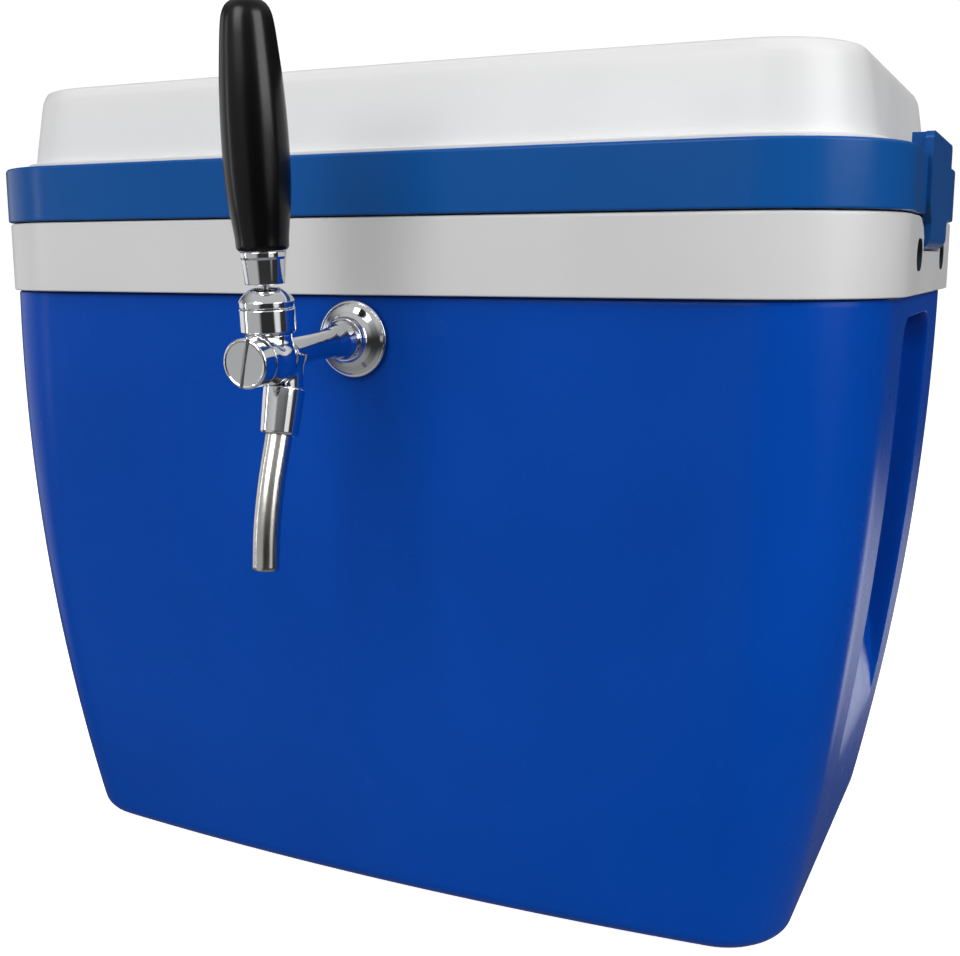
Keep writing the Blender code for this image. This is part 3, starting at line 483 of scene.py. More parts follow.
def back_samples(low, high, _count):
    """The same for the back and the inlet's hole."""
    near = [INLET_X - 0.0105, INLET_X, INLET_X + 0.0105]
    return spread(low, near[0], 15) + near + spread(near[-1], high, 4)


def shell_level(z, inset):
    """A level of the tapered shell, inset from its outer face."""
    s = 1 - z / Z_COLLAR
    half_x = BODY_HALF_X - BODY_END_TAPER * s - BODY_END_CURVE * s * s - inset
    half_y = BODY_HALF_Y - BODY_SIDE_CURVE * s * s - inset
    bow = RIM_BOW + BODY_BOW_GROWTH * s * s
    corner = BODY_CORNER + (BODY_CORNER_BASE - BODY_CORNER) * s - inset
    loop = outline(half_x, half_y, corner, bow, z, recess_ys, front_samples, back_samples)
    inner = inset >= SHELL_WALL * 0.9 and z >= BASE_ROUNDING
    grow = SHELL_WALL * 0.6 if inner else 0.0       # the recess is wider on the wall's inner face

    def pressed(x, y):
        on_end = abs(abs(x) - half_x) < 1e-7
        return x - copysign(recess_depth(y, z, grow), x) if on_end else x

    return [(pressed(x, y), y, z) for x, y, _ in loop]


def shell_heights():
    """Levels of the wall, closest together over the recess's upper edge."""
    heights = [BASE_ROUNDING + 0.0015] + spread(BASE_ROUNDING + 0.0015, 0.060, 5)
    heights += spread(0.060, 0.160, 24) + spread(0.160, 0.2395, 8) + [0.2395, 0.245, 0.250, 0.255]
    heights += [0.2605 + 0.001 * k for k in range(19)] + [0.2795 + 0.0005 * k for k in range(13)]
    return heights + [0.287, 0.2905, Z_COLLAR - 0.0012]


def rounded_foot(radius, z, steps=8):
    """Heights and insets of levels up a quarter circle that starts at height z."""
    angles = [k * pi / 2 / steps for k in range(steps)]
    return [(z + radius * (1 - cos(a)), radius * (1 - sin(a))) for a in angles]


def make_shell():
    wall = SHELL_WALL
    heights = shell_heights()
    foot = rounded_foot(BASE_ROUNDING - wall, wall)
    loops = [shell_level(z, wall + inset) for z, inset in foot]
    loops += [shell_level(z, wall) for z in heights]
    loops += [shell_level(Z_COLLAR - GAP, wall), shell_level(Z_COLLAR - GAP, 0.0008)]
    loops += [shell_level(z, 0.0) for z in reversed(heights)]
    loops += [shell_level(z, inset) for z, inset in reversed(rounded_foot(BASE_ROUNDING, 0.0))]
    shell = loft("outer_shell_v", loops, BLUE)
    bore_walls(shell, BLUE)
    settle(weigh(shell), "cooler", "blue_body", "outer_shell")


def make_liner():
    """The inner face from the floor up, the brim over the collar, and the outer face back down."""
    wall, top, rounding, brim = LINER_WALL, Z_SEAM - GAP, LINER_ROUNDING, LINER_BRIM
    low, high = Z_FLOOR + rounding, top - 0.001
    levels = [low + (high - Z_FLOOR - rounding) * k / 10 for k in range(11)]
    inside = [liner_level(z, -inset) for z, inset in rounded_foot(rounding, Z_FLOOR)]
    outside = [liner_level(z, wall - inset) for z, inset in rounded_foot(rounding, Z_FLOOR - wall)]
    middle = -0.030                                 # the flat floor is capped this far in
    loops = [liner_level(Z_FLOOR, middle)] + inside + [liner_level(z) for z in levels]
    loops += [liner_level(top, 0.0010), band(brim - 0.0008, top), band(brim, top - 0.0008)]
    loops += [band(brim, top - wall), liner_level(top - wall, wall)]
    loops += [liner_level(z, wall) for z in reversed(levels[:-1])]
    loops += outside[::-1] + [liner_level(Z_FLOOR - wall, middle)]
    liner = loft("inner_liner_v", loops, LINER)
    bore_walls(liner, LINER)
    settle(weigh(liner), "cooler", "white_liner", "inner_liner")


# ---------------------------------------------------------------- collar and end handles
def stadium(centre_y, centre_z, half_length, half_height, steps=16):
    """A slot's outline."""
    points = []
    for side in (1, -1):
        for k in range(steps + 1):
            a = side * (pi * k / steps - pi / 2)
            y = centre_y + side * (half_length - half_height + half_height * cos(a))
            points.append((y, centre_z + half_height * sin(a)))
    return points


def make_collar():
    """A channel that opens downwards, with solid blocks behind its pockets for the handles."""
    top, foot = Z_SEAM - GAP, 0.2975
    profile = [
        (0.2340, Z_COLLAR, 0.0007), (0.2340, top, 0.0014), (0.2195, top), (0.2195, foot),
        (0.2220, foot), (0.2220, top - 0.0028), (0.2310, top - 0.0028), (0.2310, foot),
        (0.2285, 0.2965), (0.2285, Z_COLLAR),
    ]
    collar = sweep("collar_v", profile, PALE, ring=True)
    collar.data.materials.append(PAINTED_SHADE)
    added, cutters = [], []
    for side, end in ENDS:
        low, high = sorted((side * 0.2205, side * 0.2325))
        corners = (low, -0.080, 0.2950), (high, 0.080, top - 0.0014)
        added.append(block(f"hinge_block_{end}", *corners, PALE))
        half = [
            (0.063, Z_SEAM + 0.003), (0.041, 0.3240), (0.0362, PIVOT_Z), (0.0362, PIVOT_Z - 0.0063)
        ]
        whole = half[::-1] + [(-y, z) for y, z in half]
        pocket = [(side * (PIVOT_X - BARREL_R - 0.0007), y, z) for y, z in whole]
        outwards = (side * 0.02, 0, 0)
        cutters.append(prism(f"pocket_{end}", pocket, outwards, PALE))
        for along in (1, -1):
            # each slot's cutter carries the painted shade finish, so the slot's cut walls and floor
            # come out dark as painted shadow
            shape = stadium(along * 0.0500, 0.3115, 0.011, 0.007)
            slot = [(side * 0.2225, y, z) for y, z in shape]
            cutters.append(prism(f"slot_{end}_{along}", slot, outwards, PAINTED_SHADE))
    combine(collar, added, "UNION")
    combine(collar, cutters, "DIFFERENCE")
    soften(collar, 0.0006, 2)
    settle(weigh(collar), "cooler", "pale_collar", "collar")


def make_handles():
    """A plate with a lip along its top and a bored hinge barrel along its foot."""
    neck = 0.0355
    half = [
        (HANDLE_HALF_Y, HANDLE_TOP, 0.0035), (HANDLE_HALF_Y, 0.3330, 0.004), (neck, 0.3255, 0.002),
        (neck, PIVOT_Z),
    ]
    shape = fillet(half[::-1] + [(-p[0], *p[1:]) for p in half], 6, ring=True)
    face = [(HANDLE_OUTER_X, y, z) for y, z in shape]
    handle = prism("handle_right_v", face, (-0.0037, 0, 0), TRIM)
    half_lip = HANDLE_HALF_Y - 0.0008
    low = (HANDLE_OUTER_X - 0.0094, -half_lip, 0.3545)
    high = (HANDLE_OUTER_X - 0.0010, half_lip, HANDLE_TOP - 0.0006)
    pivot = Matrix.Translation((PIVOT_X, 0, PIVOT_Z)) @ FORWARD
    barrel = lathe("barrel", [(BARREL_R, -0.0354), (BARREL_R, 0.0354)], TRIM, pivot, 48, ring=False)
    bore = lathe("bore", [(0.0021, -0.05), (0.0021, 0.05)], TRIM, pivot, 24, ring=False)
    combine(handle, [block("lip", low, high, TRIM), barrel], "UNION")
    combine(handle, [bore], "DIFFERENCE")
    soften(handle, 0.0009, 3)
    weigh(handle)
    other = mirrored("handle_left_v", handle)
    settle(handle, "handle_right", "blue_trim", "handle_right")
    settle(weigh(other), "handle_left", "blue_trim", "handle_left")


# ---------------------------------------------------------------- the lid
def make_lid():
    """The rim with a block and a notch for each handle, the domed top, and the pan below it."""
    foot = Z_SEAM + GAP
    profile = [
        (0.2350, foot, 0.0010), (0.2350, Z_RIM, 0.0016), (0.2240, Z_RIM), (0.2240, Z_RIM - 0.0025),
        (0.2320, Z_RIM - 0.0025), (0.2320, foot),
    ]
    rim = sweep("lid_rim_v", profile, TRIM, ring=True)
    added, cutters = [], []
    for side, end in ENDS:
        low, high = sorted((side * 0.2242, side * 0.2335))
        corners = (low, -0.0530, foot + 0.0005), (high, 0.0530, Z_RIM - 0.0010)
        added.append(block(f"rim_block_{end}", *corners, TRIM))
        low, high = sorted((side * 0.2267, side * 0.2500))
        corners = (low, -0.0463, 0.3200), (high, 0.0463, 0.3700)
        cutters.append(block(f"rim_notch_{end}", *corners, TRIM))
    combine(rim, added, "UNION")
    combine(rim, cutters, "DIFFERENCE")
    soften(rim, 0.0008, 3)
    settle(weigh(rim), "lid", "blue_trim", "lid_rim")

    crown = smooth_curve([
        (0.2150, 0.3870), (0.2135, 0.3925), (0.2090, 0.3962), (0.1900, 0.3976), (0.1200, Z_DOME),
    ], 0.0015)
    skirt, under_ledge = 0.3400, Z_LEDGE - 0.0027
    outside = [(0.2235, skirt), (0.2235, Z_LEDGE, 0.0009), (0.2195, Z_LEDGE, 0.0006)]
    outside += [tuple(p) for p in crown]
    inside = [
        (0.1200, Z_DOME - 0.0025), (0.2050, 0.3940), (0.2120, 0.3870), (0.2170, under_ledge),
        (0.2210, under_ledge), (0.2210, skirt),
    ]
    top = sweep("lid_top_v", inside + outside, WHITE)
    settle(weigh(top), "lid", "white_lid", "lid_top")

    plug, wall = 0.3160, 0.0022                     # the pan's underside, and how thick it is
    pan = sweep("lid_pan_v", [
        (0.2043, plug + wall), (0.2043, foot + wall), (0.2215, foot + wall), (0.2215, foot),
        (0.2065, foot, 0.0008), (0.2065, plug, 0.0030), (0.1500, plug),
    ], LINER)
    settle(weigh(pan), "lid", "white_liner", "lid_pan")


# ---------------------------------------------------------------- the tap
# u runs forward along the tap's arm and w up across it, both from FRAME's origin
FRAME = Matrix.Translation((TAP_X, FAUCET_Y, TAP_Z)) @ Matrix.Rotation(TAP_TILT, 4, "X")
AT_VALVE = FRAME @ Matrix.Translation((0, -VALVE_U, 0))
SPOUT_TURN = Matrix.Rotation(pi - SPOUT_LEAN - TAP_TILT, 4, "X")
AT_SPOUT = FRAME @ Matrix.Translation((0, -SPOUT_U, SPOUT_W)) @ SPOUT_TURN


def smooth_min(a, b, reach):
    """The lower of two distances, blended where they differ by less than reach."""
    h = np.clip(0.5 + 0.5 * (b - a) / reach, 0, 1)
    return b + (a - b) * h - reach * h * (1 - h)


def surface_net(field, low, high, step):
    """Meshes the zero surface of a distance field, with its points moved onto the surface."""
    axes = [np.arange(a, b + step, step) for a, b in zip(low, high)]
    grid = np.stack(np.meshgrid(*axes, indexing="ij"), -1)
    values = field(grid)
    cells = tuple(n - 1 for n in values.shape)
    total, count = np.zeros(cells + (3,)), np.zeros(cells)
    crossings = []
    for axis in range(3):
        head = [slice(None)] * 3
        tail = [slice(None)] * 3
        head[axis], tail[axis] = slice(0, -1), slice(1, None)
        a, b = values[tuple(head)], values[tuple(tail)]
        crossed = (a < 0) != (b < 0)
        t = np.where(crossed, a / np.where(crossed, a - b, 1), 0)
        point = grid[tuple(head)].copy()
        point[..., axis] += t * step
        others = [k for k in range(3) if k != axis]
        for shift in ((0, 0), (0, 1), (1, 0), (1, 1)):
            source, target = [slice(None)] * 3, [slice(None)] * 3
            for k, d in zip(others, shift):
                source[k] = slice(1, None) if d else slice(0, -1)
            mask = crossed[tuple(source)]
            total[tuple(target)] += np.where(mask[..., None], point[tuple(source)], 0)
            count[tuple(target)] += mask
        crossings.append((axis, others, crossed, a < 0))
    active = count > 0
    index = np.full(cells, -1)
    index[active] = np.arange(active.sum())
    points = total[active] / count[active][:, None]
    faces = []
    for axis, others, crossed, inside in crossings:
        u, v = others
        where = np.argwhere(crossed)
        where = where[(where[:, u] > 0) & (where[:, v] > 0)]
        corners = []
        for du, dv in ((1, 1), (0, 1), (0, 0), (1, 0)):
            cell = where.copy()
            cell[:, u] -= du
            cell[:, v] -= dv
            corners.append(index[tuple(cell.T)])
        quads = np.stack(corners, 1)
        flip = inside[tuple(where.T)] == (axis == 1)
        quads[flip] = quads[flip][:, ::-1]
        faces.append(quads)
    tiny = 1e-6

    def gradient(at):
        ways = np.eye(3) * tiny
        return np.stack([(field(at + way) - field(at - way)) / (2 * tiny) for way in ways], -1)

    for _ in range(3):
        slope = gradient(points)
        size = np.maximum((slope**2).sum(-1), 0.2)
        move = slope * (field(points) / size)[:, None]
        length = np.linalg.norm(move, axis=-1, keepdims=True)
        points = points - move * np.minimum(1, step * 0.5 / np.maximum(length, 1e-12))
    normals = gradient(points)
    normals /= np.maximum(np.linalg.norm(normals, axis=-1, keepdims=True), 1e-9)
    return points, np.concatenate(faces), normals


def faucet_field(p):
    """Distance to the cast tap body. p is (sideways, along the arm, up)."""
    x, u, w = p[..., 0], p[..., 1], p[..., 2]
    across = np.sqrt(x * x + w * w)
    arm_u = np.array([-0.0020, 0.0003, 0.0022, 0.0055, 0.0120, 0.0200, 0.0260, 0.0420, 0.0600])
    arm_r = np.array([0.0088, 0.0088, 0.0087, 0.0076, 0.0065, 0.0061, 0.0060, 0.0061, 0.0061])
    arm = np.maximum(across - np.interp(u, arm_u, arm_r), np.maximum(0.0003 - u, u - VALVE_U))
    ball = np.sqrt(x * x + (u - VALVE_U) ** 2 + w * w) - BALL_R
    nose = np.maximum(across - 0.0100, np.maximum(VALVE_U - u, u - VALVE_U - 0.0100))
    top_r = np.interp(w, [-0.0020, 0.0040, 0.0060, 0.0100], [0.0070, 0.0088, 0.0095, 0.0095])
    boss = np.sqrt(x * x + (u - VALVE_U) ** 2) - top_r
    boss = np.maximum(boss, np.maximum(-0.0020 - w, w - 0.0097))
    lean = SPOUT_LEAN - TAP_TILT
    du, dw = u - SPOUT_U, w - SPOUT_W
    along = du * sin(lean) - dw * cos(lean)         # down the spout's neck
    sideways = np.sqrt(x * x + (du * cos(lean) + dw * sin(lean)) ** 2)
    neck = np.maximum(sideways - 0.0068, np.maximum(-along, along - 0.0131))
    solid = smooth_min(smooth_min(arm, ball, 0.0035), nose, 0.0012)
    solid = smooth_min(solid, boss, 0.0018)
    solid = smooth_min(solid, neck, 0.0026)
    forward = u * cos(TAP_TILT) + w * sin(TAP_TILT)     # level, along the shank's axis
    rise = w * cos(TAP_TILT) - u * sin(TAP_TILT)
    level = np.sqrt(x * x + rise * rise)
    spigot = np.maximum(level - 0.0057, np.maximum(-0.0080 - forward, forward - 0.0020))
    solid = np.minimum(solid, spigot)
    bore = np.maximum(across - 0.0043, 0.0140 - u)
    way_in = np.maximum(across - 0.0026, u - 0.0150)
    way_out = np.maximum(sideways - 0.0030, np.maximum(0.0020 - along, along - 0.0140))
    slot = np.maximum(np.maximum(abs(x) - 0.0021, abs(u - VALVE_U) - 0.0068), -w)
    way_back = np.maximum(level - 0.0026, forward - 0.0010)
    cuts = np.minimum(np.minimum(np.minimum(bore, way_in), way_back), np.minimum(way_out, slot))
    return np.maximum(solid, -cuts)


def make_faucet():
    low, high = (-0.013, -0.009, -0.018), (0.013, 0.070, 0.012)
    points, faces, normals = surface_net(faucet_field, low, high, 0.00055)
    to_row = FRAME @ Matrix(((1, 0, 0, 0), (0, -1, 0, 0), (0, 0, 1, 0), (0, 0, 0, 1)))
    turn = np.array(to_row.to_3x3())
    placed = points @ turn.T + np.array(to_row.translation)
    mesh = bpy.data.meshes.new("faucet_body_v")
    mesh.from_pydata(placed.tolist(), [], faces.tolist())
    mesh.flip_normals()
    mesh.update()
    mesh.shade_smooth()
    mesh.normals_split_custom_set_from_vertices((normals @ turn.T).tolist())
    settle(to_object("faucet_body_v", mesh, CHROME), "cooler", "chrome", "faucet_body")

    u = VALVE_U
    cap = lathe("front_cap_v", [
        (0.0099, u + 0.0103), (0.0102, u + 0.0110, 0.0003), (0.0102, u + 0.0178, 0.0008),
        (0.0093, u + 0.0184, 0.0004), (0.0086, u + 0.0180, 0.0003), (0.0060, u + 0.0183),
        (0.0020, u + 0.0184),
    ], CHROME, FRAME @ FORWARD, 96, ring=False)
    groove = block("groove", (-0.0009, -0.0100, 0.0), (0.0009, 0.0100, 0.0100), CHROME)
    groove_foot = FRAME @ Matrix.Translation((0, -(u + 0.0164), 0)) @ FORWARD
    groove.data.transform(groove_foot @ Matrix.Rotation(radians(-14), 4, "Z"))
    combine(cap, [groove], "DIFFERENCE")
    soften(cap, 0.00018, 2, 40)
    settle(weigh(cap), "cooler", "chrome", "front_cap")

    inner = 0.0066
    turned("bonnet_ring", [
        (inner, 0.0100), (0.0104, 0.0100, 0.0004), (0.0113, 0.0112, 0.0006),
        (0.0113, 0.0202, 0.0007), (inner, 0.0202),
    ], CHROME, "chrome", AT_VALVE, 96)
    dome_r = 0.0130
    dome_points = (0.0106, 0.0098, 0.0090, 0.0080, 0.0070, 0.0062)
    dome = [(r, PIVOT_W + sqrt(dome_r**2 - r * r)) for r in dome_points]
    turned("bonnet_nut", [
        (inner, 0.0205), (0.0112, 0.0205, 0.0006), (0.0112, 0.0229, 0.0004), *dome,
        (0.0057, 0.0280, 0.0003), (0.0057, 0.0262), (inner, 0.0245),
    ], CHROME, "chrome", AT_VALVE, 96)

    top, foot, hole = 0.0136, SOCKET_FOOT, 0.0060
    turned("spout_socket", [
        (hole, top), (0.0088, top, 0.0008), (0.0087, top + 0.0040), (0.0080, foot - 0.0010, 0.0004),
        (0.0075, foot, 0.0003), (hole, foot),
    ], CHROME, "chrome", AT_SPOUT, 96)


def make_spout():
    way = Vector((0, -sin(SPOUT_LEAN), -cos(SPOUT_LEAN)))
    root = FRAME @ Vector((0, -SPOUT_U, SPOUT_W))
    route = [root + way * reach for reach in (0.0150, 0.0240, SOCKET_FOOT)]
    route += [Vector((TAP_X, y, z)) for y, z in SPOUT_BEND]
    spout = tube("spout_tube_v", smooth_curve(route, 0.0018), 0.0056, 0.0046, 48, SPOUT_STEEL)
    settle(spout, "cooler", "stainless_steel", "spout_tube")


def make_lever():
    stem = 0.0023
    turned("lever_ferrule", [
        (stem, 0.0298), (0.0080, 0.0298, 0.0005), (0.0082, 0.0320), (0.0089, 0.0396, 0.0004),
        (0.0093, 0.0406, 0.0005), (0.0093, 0.0427, 0.0004), (stem, 0.0427),
    ], CHROME, "chrome", AT_VALVE, 96, "tap_lever")
    foot = 0.0430
    side = smooth_curve([(radius, foot + height) for radius, height in (
        (0.0105, 0.0012), (0.0107, 0.0050), (0.0113, 0.0100), (0.0123, 0.0180), (0.0130, 0.0280),
        (0.0131, 0.0420), (0.0128, 0.0540), (0.0122, 0.0650), (0.0113, 0.0760), (0.0105, 0.0840),
        (0.0096, 0.0890), (0.0080, 0.0922), (0.0055, 0.0940), (0.0025, 0.0948), (0.0004, 0.0950),
    )], 0.0012)
    turned("tap_handle", [
        (stem, foot + 0.0180), (stem, foot), (0.0096, foot, 0.0004), *[tuple(p) for p in side],
    ], BLACK, "black_handle", AT_VALVE, 96, "tap_lever", ring=False)


def hex_nut(node, face, matrix):
    """A hexagonal nut with chamfered corners around a wall fitting."""
    back, bevel = face - 0.0071, 0.0012
    nut = lathe(f"{node}_v", [
        (0.0082, back), (0.0135, back), (0.0135, face), (0.0082, face),
    ], STEEL, matrix, 6)
    chamfer = lathe("chamfer", [
        (0.0004, back), (0.0119, back), (0.0140, back + bevel), (0.0140, face - bevel),
        (0.0119, face), (0.0004, face),
    ], STEEL, matrix, 64, ring=False)
    thread = lathe("thread", [
        (0.0083, back - 0.001), (0.0083, face + 0.001),
    ], STEEL, matrix, 48, ring=False)
    combine(nut, [chamfer], "INTERSECT")
    combine(nut, [thread], "DIFFERENCE")
    soften(nut, 0.0003, 2, 25)
    settle(weigh(nut), "cooler", "stainless_steel", node)


def round_nut(node, reach, matrix):
    """A fluted union nut that joins the coil to a fitting's end, which is at reach."""
    low, seat, high = reach - 0.0070, reach - 0.0010, reach + 0.0060
    nut = lathe(f"{node}_v", [
        (0.0043, low), (0.0112, low, 0.0012), (0.0112, high, 0.0008), (0.0084, high),
        (0.0084, seat), (0.0043, seat),
    ], STEEL, matrix, 64)
    flutes = []
    for k in range(12):
        turn = Matrix.Rotation(2 * pi * k / 12, 4, "Z") @ Matrix.Translation((0.0125, 0, 0))
        profile = [(0.0018, low - 0.001), (0.0018, high + 0.001)]
        flutes.append(lathe(f"flute_{k}", profile, STEEL, matrix @ turn, 16, ring=False))
    combine(nut, flutes, "DIFFERENCE")
    soften(nut, 0.0002, 2, 25)
    settle(weigh(nut), "cooler", "stainless_steel", node)


def threaded(radius, low, high, pitch=0.0014, depth=0.0004):
    """A lathe profile with thread-like ridges between two heights."""
    count = int((high - low) / pitch)
    points = []
    for k in range(count):
        start = low + k * pitch
        points.append((radius - depth, start))
        points += [(radius, start + pitch * 0.4), (radius, start + pitch * 0.55)]
    return points + [(radius - depth, low + count * pitch)]


def make_wall_fittings():
    """Turned about the tap's or the inlet's axis; heights are distances from the box's middle."""
    wall, inner = -WALL_Y, -LINER_Y
    bore, shank_tail, socket, mouth = FITTING_BORE_R, 0.0960, 0.1460, 0.1555
    turned("tap_shank", [
        (bore, shank_tail), (0.0074, shank_tail), *threaded(THREAD_R, 0.0972, 0.1430),
        (THREAD_R, 0.1445), (THREAD_R, mouth), (0.0060, mouth), (0.0060, socket), (bore, socket),
    ], STEEL, "stainless_steel", AT_WALL, 48)
    hole, back = 0.0084, wall + 0.0017
    turned("tap_flange", [
        (hole, back), (0.0170, back, 0.0003), (0.0173, back + 0.0011, 0.0003),
        (0.0167, back + 0.0016, 0.0002), (0.0163, back + 0.0016, 0.0002),
        (0.0150, back + 0.0029, 0.003), (0.0121, back + 0.0043, 0.003),
        (0.0100, back + 0.0061, 0.002), (0.0095, back + 0.0090, 0.0003), (hole, back + 0.0090),
    ], CHROME, "chrome", AT_WALL, 128, rounding=6)
    hex_nut("shank_nut", inner - 0.0037, AT_WALL)

    wall, inner = INLET_WALL_Y, INLET_LINER_Y
    inlet_tail = inner - 0.0260
    flange = [
        (THREAD_R, 0.0014), (0.0150, 0.0014, 0.0004), (0.0150, 0.0052, 0.0012),
        (0.0072, 0.0060, 0.0015), (0.0070, 0.0100),
    ]
    barbs = [
        (0.0058, 0.0106), (0.0058, 0.0118), (0.0068, 0.0122, 0.0002),
        (0.0056, 0.0158), (0.0056, 0.0165), (0.0068, 0.0169, 0.0002),
        (0.0056, 0.0205), (0.0056, 0.0208), (0.0066, 0.0212, 0.0002),
        (0.0052, 0.0240, 0.0003), (bore, 0.0240, 0.0003),
    ]
    turned("inlet_fitting", [
        (bore, inlet_tail), (0.0074, inlet_tail), *threaded(THREAD_R, inner - 0.0250, wall),
        *[(radius, wall + height, *rest) for radius, height, *rest in flange + barbs],
    ], STEEL, "stainless_steel", AT_INLET, 64)
    hex_nut("inlet_nut", inner - 0.0035, AT_INLET)
    round_nut("coil_outlet_nut", shank_tail, AT_WALL)
    round_nut("coil_inlet_nut", inlet_tail, AT_INLET)


# ---------------------------------------------------------------- the coil
def coil_point(turn):
    """A point of the oval coil, so many turns from its lower end."""
    straight, bend = COIL_STRAIGHT, COIL_BEND_R
    round_length = pi * bend
    s = (turn % 1.0) * (4 * straight + 2 * round_length)
    z = COIL_Z + COIL_PITCH * turn
    if s < straight:
        return Vector((-s, bend, z))
    s -= straight
    if s < round_length:
        return Vector((-straight - bend * sin(s / bend), bend * cos(s / bend), z))
    s -= round_length
    if s < 2 * straight:
        return Vector((-straight + s, -bend, z))
    s -= 2 * straight
    if s < round_length:
        return Vector((straight + bend * sin(s / bend), -bend * cos(s / bend), z))
    return Vector((straight - (s - round_length), bend, z))


def make_coil():
    steps = 64
    turns = [coil_point(k / steps) for k in range(COIL_TURNS * steps + steps // 2 + 1)]
    start, end = turns[0], turns[-1]
    x, y = INLET_X, INLET_LINER_Y
    from_inlet = [
        (x, y - 0.0264, INLET_Z), (x, y - 0.0330, INLET_Z), (x, y - 0.0420, INLET_Z - 0.0020),
        (x + 0.004, 0.0700, INLET_Z - 0.0250), (x + 0.010, 0.0780, 0.1850),
        (x + 0.014, 0.0880, 0.1200), (x + 0.012, 0.0890, 0.0700), (0.0920, 0.0830, 0.0440),
        (0.0600, 0.0712, COIL_Z), (0.0300, COIL_BEND_R, COIL_Z), start,
    ]
    to_tap = [
        end, end + Vector((0.0250, 0.0030, 0.0060)), (0.0420, -0.0560, 0.1750),
        (0.0250, -0.0520, 0.2350), (TAP_X + 0.0030, -0.0680, 0.2735), (TAP_X, -0.0830, TAP_Z),
        (TAP_X, -0.0958, TAP_Z),
    ]
    path = smooth_curve(from_inlet, 0.005)[:-1] + turns + smooth_curve(to_tap, 0.005)[1:]
    coil = tube("cooling_coil_v", path, COIL_R, COIL_BORE_R, 16, COIL_STEEL)
    settle(coil, "cooler", "stainless_steel", "cooling_coil")


def make_strap(node, x, y):
    """A strap around one side of all the coil's turns, with a foot on the liner's floor."""
    low = COIL_Z - COIL_R - 0.0006
    high = COIL_Z + COIL_PITCH * (COIL_TURNS + 0.5) + COIL_R + 0.0008
    reach, plate, half_width = COIL_R + 0.0007, 0.0012, 0.0050
    rows = []
    for grow, side in ((0.0, -1), (plate, -1), (plate, 1), (0.0, 1)):
        front, back, foot, top = y - reach - grow, y + reach + grow, low - grow, high + grow
        corners = ((front, foot), (back, foot), (back, top), (front, top))
        section = fillet([(*corner, 0.0012 + grow) for corner in corners], 5, ring=True)
        rows.append([(x + side * half_width, py, pz) for py, pz in section])
    strap = loft(f"{node}_v", rows, STEEL, ring=True)
    foot_low = (x - half_width, y - reach, Z_FLOOR + GAP)
    foot_high = (x + half_width, y + reach, low - plate / 2)
    combine(strap, [block("strap_foot", foot_low, foot_high, STEEL)], "UNION")
    soften(strap, 0.00025, 2, 40)
    settle(weigh(strap), "cooler", "stainless_steel", node)


make_shell()
make_liner()
make_collar()
make_handles()
make_lid()
make_faucet()
make_spout()
make_lever()
make_wall_fittings()
make_coil()
for side, end in ENDS:
    make_strap(f"coil_strap_front_{end}", side * STRAP_X, -COIL_BEND_R)
    make_strap(f"coil_strap_back_{end}", side * STRAP_X, COIL_BEND_R)

for finish, nodes in (      # CAD solids that stay, with better materials
    (FOAM, ("body_foam", "lid_foam")),
    (STEEL, ("hinge_pin_right", "hinge_pin_left", "valve_plunger", "lever_stem")),
    (RUBBER, ("flange_seal", "shank_washer", "inlet_seal", "inlet_washer", "plunger_seal")),
):
    for node in nodes:
        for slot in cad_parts[node].material_slots:
            slot.material = finish


# ---------------------------------------------------------------- floor, light and camera
# soft panels of light in the world: direction, cosines where each starts and is full, strength
PANELS = (
    ((0.10, -0.12, 1.0), 0.10, 0.80, 0.50),             # above
    ((-0.55, -0.83, 0.00), 0.70, 0.86, 0.42),           # front left
    ((0.24, 0.93, -0.30), 0.990, 0.9965, 1.80),         # low behind, mirrored by the recess's foot
    ((-1.00, 0.10, 0.00), 0.90, 0.97, 0.80),            # left
    ((0.00, 0.00, -1.0), 0.25, 0.90, 0.24),             # below, for the pale floor's bounce
    ((0.96, -0.28, 0.00), 0.960, 0.985, 0.80),          # right
)
GLOOM = 0.03                                            # strength between the panels
FLOOR_R, BACKDROP_R, BACKDROP_FOOT, BACKDROP_TOP = 14.0, 13.9, -0.5, 12.0
FLOOR_DROP = 0.0004


def make_stage():
    """A pale floor and backdrop, which neither light the object nor show in its gloss."""
    paint = Nodes("studio_floor", (0.88, 0.88, 0.88), 0.75, 0.0, 0.1)
    shades = (0.875, 0.875, 0.875), (0.885, 0.885, 0.885)
    paint.link(paint.blend(paint.range(paint.noise(3.0), 0.0, 1.0), *shades), "Base Color")
    paint.set("Emission Color", (1.0, 1.0, 1.0, 1.0))
    paint.set("Emission Strength", 0.80)
    bm = bmesh.new()
    bmesh.ops.create_circle(bm, cap_ends=True, segments=96, radius=FLOOR_R)
    floor = from_bm("studio_floor", bm, paint.material)
    floor.location.z = -FLOOR_DROP

    glow = Nodes("studio_backdrop", (0.0, 0.0, 0.0), 1.0, 0.0, 0.0)
    glow.set("Emission Color", (1.0, 1.0, 1.0, 1.0))
    glow.link(glow.range(glow.noise(0.4), 1.02, 1.06), "Emission Strength")
    wall = [(BACKDROP_R, BACKDROP_FOOT), (BACKDROP_R, BACKDROP_TOP)]
    backdrop = lathe("studio_backdrop", wall, glow.material, ring=False)
    backdrop.visible_shadow = False
    for stage in (floor, backdrop):
        stage.visible_glossy = stage.visible_diffuse = False


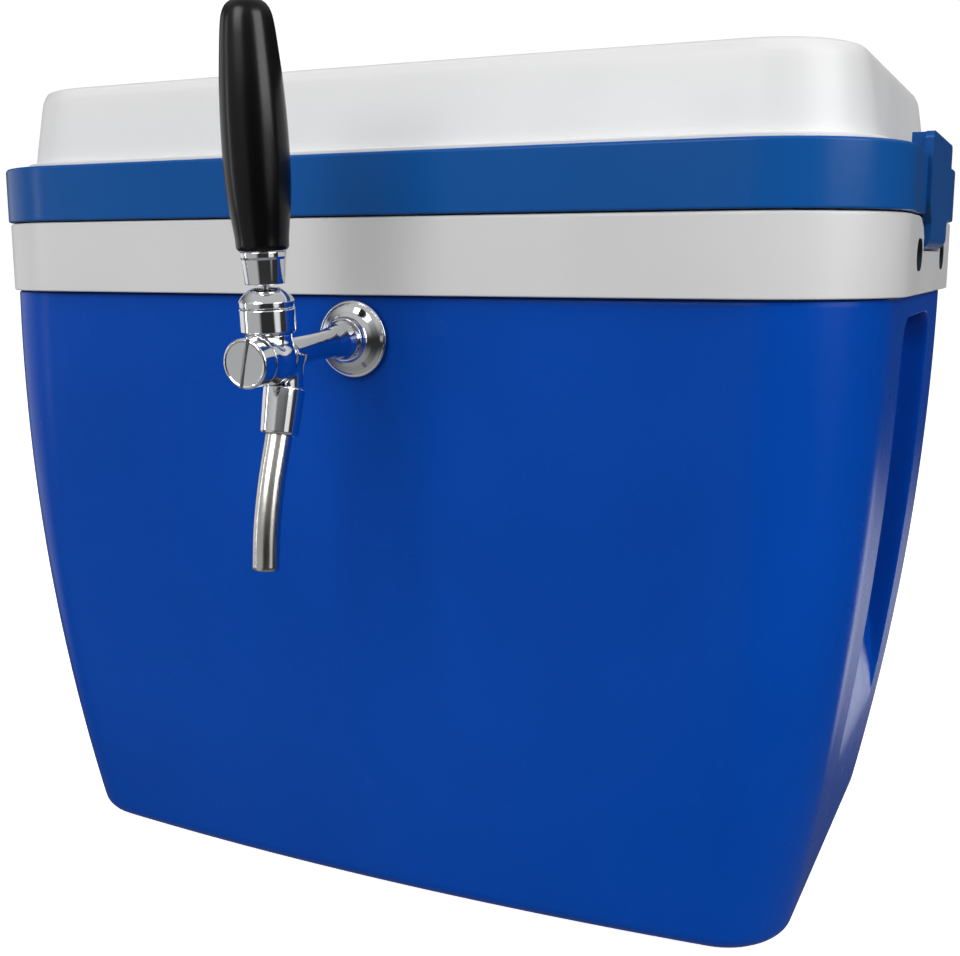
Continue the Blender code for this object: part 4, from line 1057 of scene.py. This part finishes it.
def make_world():
    """Adds up the panels of light by how near a direction is to each."""
    world = bpy.data.worlds.new("studio")
    world.use_nodes = True
    tree = world.node_tree
    way = tree.nodes.new("ShaderNodeTexCoord").outputs["Generated"]
    strength = tree.nodes.new("ShaderNodeMath")     # a sum that the panels are added to
    strength.inputs[0].default_value, strength.inputs[1].default_value = GLOOM, 0.0
    for direction, start, full, power in PANELS:
        facing = tree.nodes.new("ShaderNodeVectorMath")
        facing.operation = "DOT_PRODUCT"
        facing.inputs[1].default_value = Vector(direction).normalized()
        tree.links.new(way, facing.inputs[0])
        patch = tree.nodes.new("ShaderNodeMapRange")
        patch.interpolation_type = "SMOOTHSTEP"
        tree.links.new(facing.outputs["Value"], patch.inputs[0])
        for i, number in enumerate((start, full, 0.0, power), 1):
            patch.inputs[i].default_value = number
        total = tree.nodes.new("ShaderNodeMath")
        tree.links.new(strength.outputs[0], total.inputs[0])
        tree.links.new(patch.outputs[0], total.inputs[1])
        strength = total
    tree.links.new(strength.outputs[0], tree.nodes["Background"].inputs["Strength"])
    tree.nodes["Background"].inputs["Color"].default_value = (1.0, 1.0, 1.0, 1.0)
    bpy.context.scene.world = world


LAMPS = (       # name, place, what it faces, size and watts
    ("key", (-0.4, -3.2, 2.2), (0, 0, 0.2), (2.0, 2.0), 72),
    ("strip", (-1.3, -0.9, 0.45), (0, -0.2, 0.30), (0.06, 0.9), 1.5),
    ("side", (3.0, -0.6, 1.6), (0.2, 0, 0.2), (2.0, 2.0), 72),
)


def area_light(name, location, target, size, power):
    data = bpy.data.lights.new(name, "AREA")
    data.shape = "RECTANGLE"
    data.size, data.size_y = size
    data.energy = power
    lamp = bpy.data.objects.new(name, data)
    lamp.location = location
    way = Vector(target) - Vector(location)
    lamp.rotation_euler = way.to_track_quat("-Z", "Y").to_euler()
    bpy.context.scene.collection.objects.link(lamp)


def make_camera():
    """The photo's camera, as fitted to it."""
    data = bpy.data.cameras.new("camera")
    data.lens, data.sensor_width = 47.25, 36.0
    data.clip_start, data.clip_end = 0.01, 60.0
    camera = bpy.data.objects.new("camera", data)
    x, y, z = 0.2963, -0.6402, 0.3100
    yaw, pitch, roll = 0.4365, 0.1722, -0.0014
    ahead = Vector((-sin(yaw) * cos(pitch), cos(yaw) * cos(pitch), -sin(pitch)))
    right = Vector((cos(yaw), sin(yaw), 0))
    up = right.cross(ahead)
    across, above = right * cos(roll) + up * sin(roll), up * cos(roll) - right * sin(roll)
    camera.matrix_world = Matrix((
        (across.x, above.x, -ahead.x, x), (across.y, above.y, -ahead.y, y),
        (across.z, above.z, -ahead.z, z), (0, 0, 0, 1),
    ))
    bpy.context.scene.collection.objects.link(camera)
    bpy.context.scene.camera = camera


make_stage()
make_world()
for lamp in LAMPS:
    area_light(*lamp)
make_camera()
bpy.context.scene.view_settings.view_transform = "Standard"
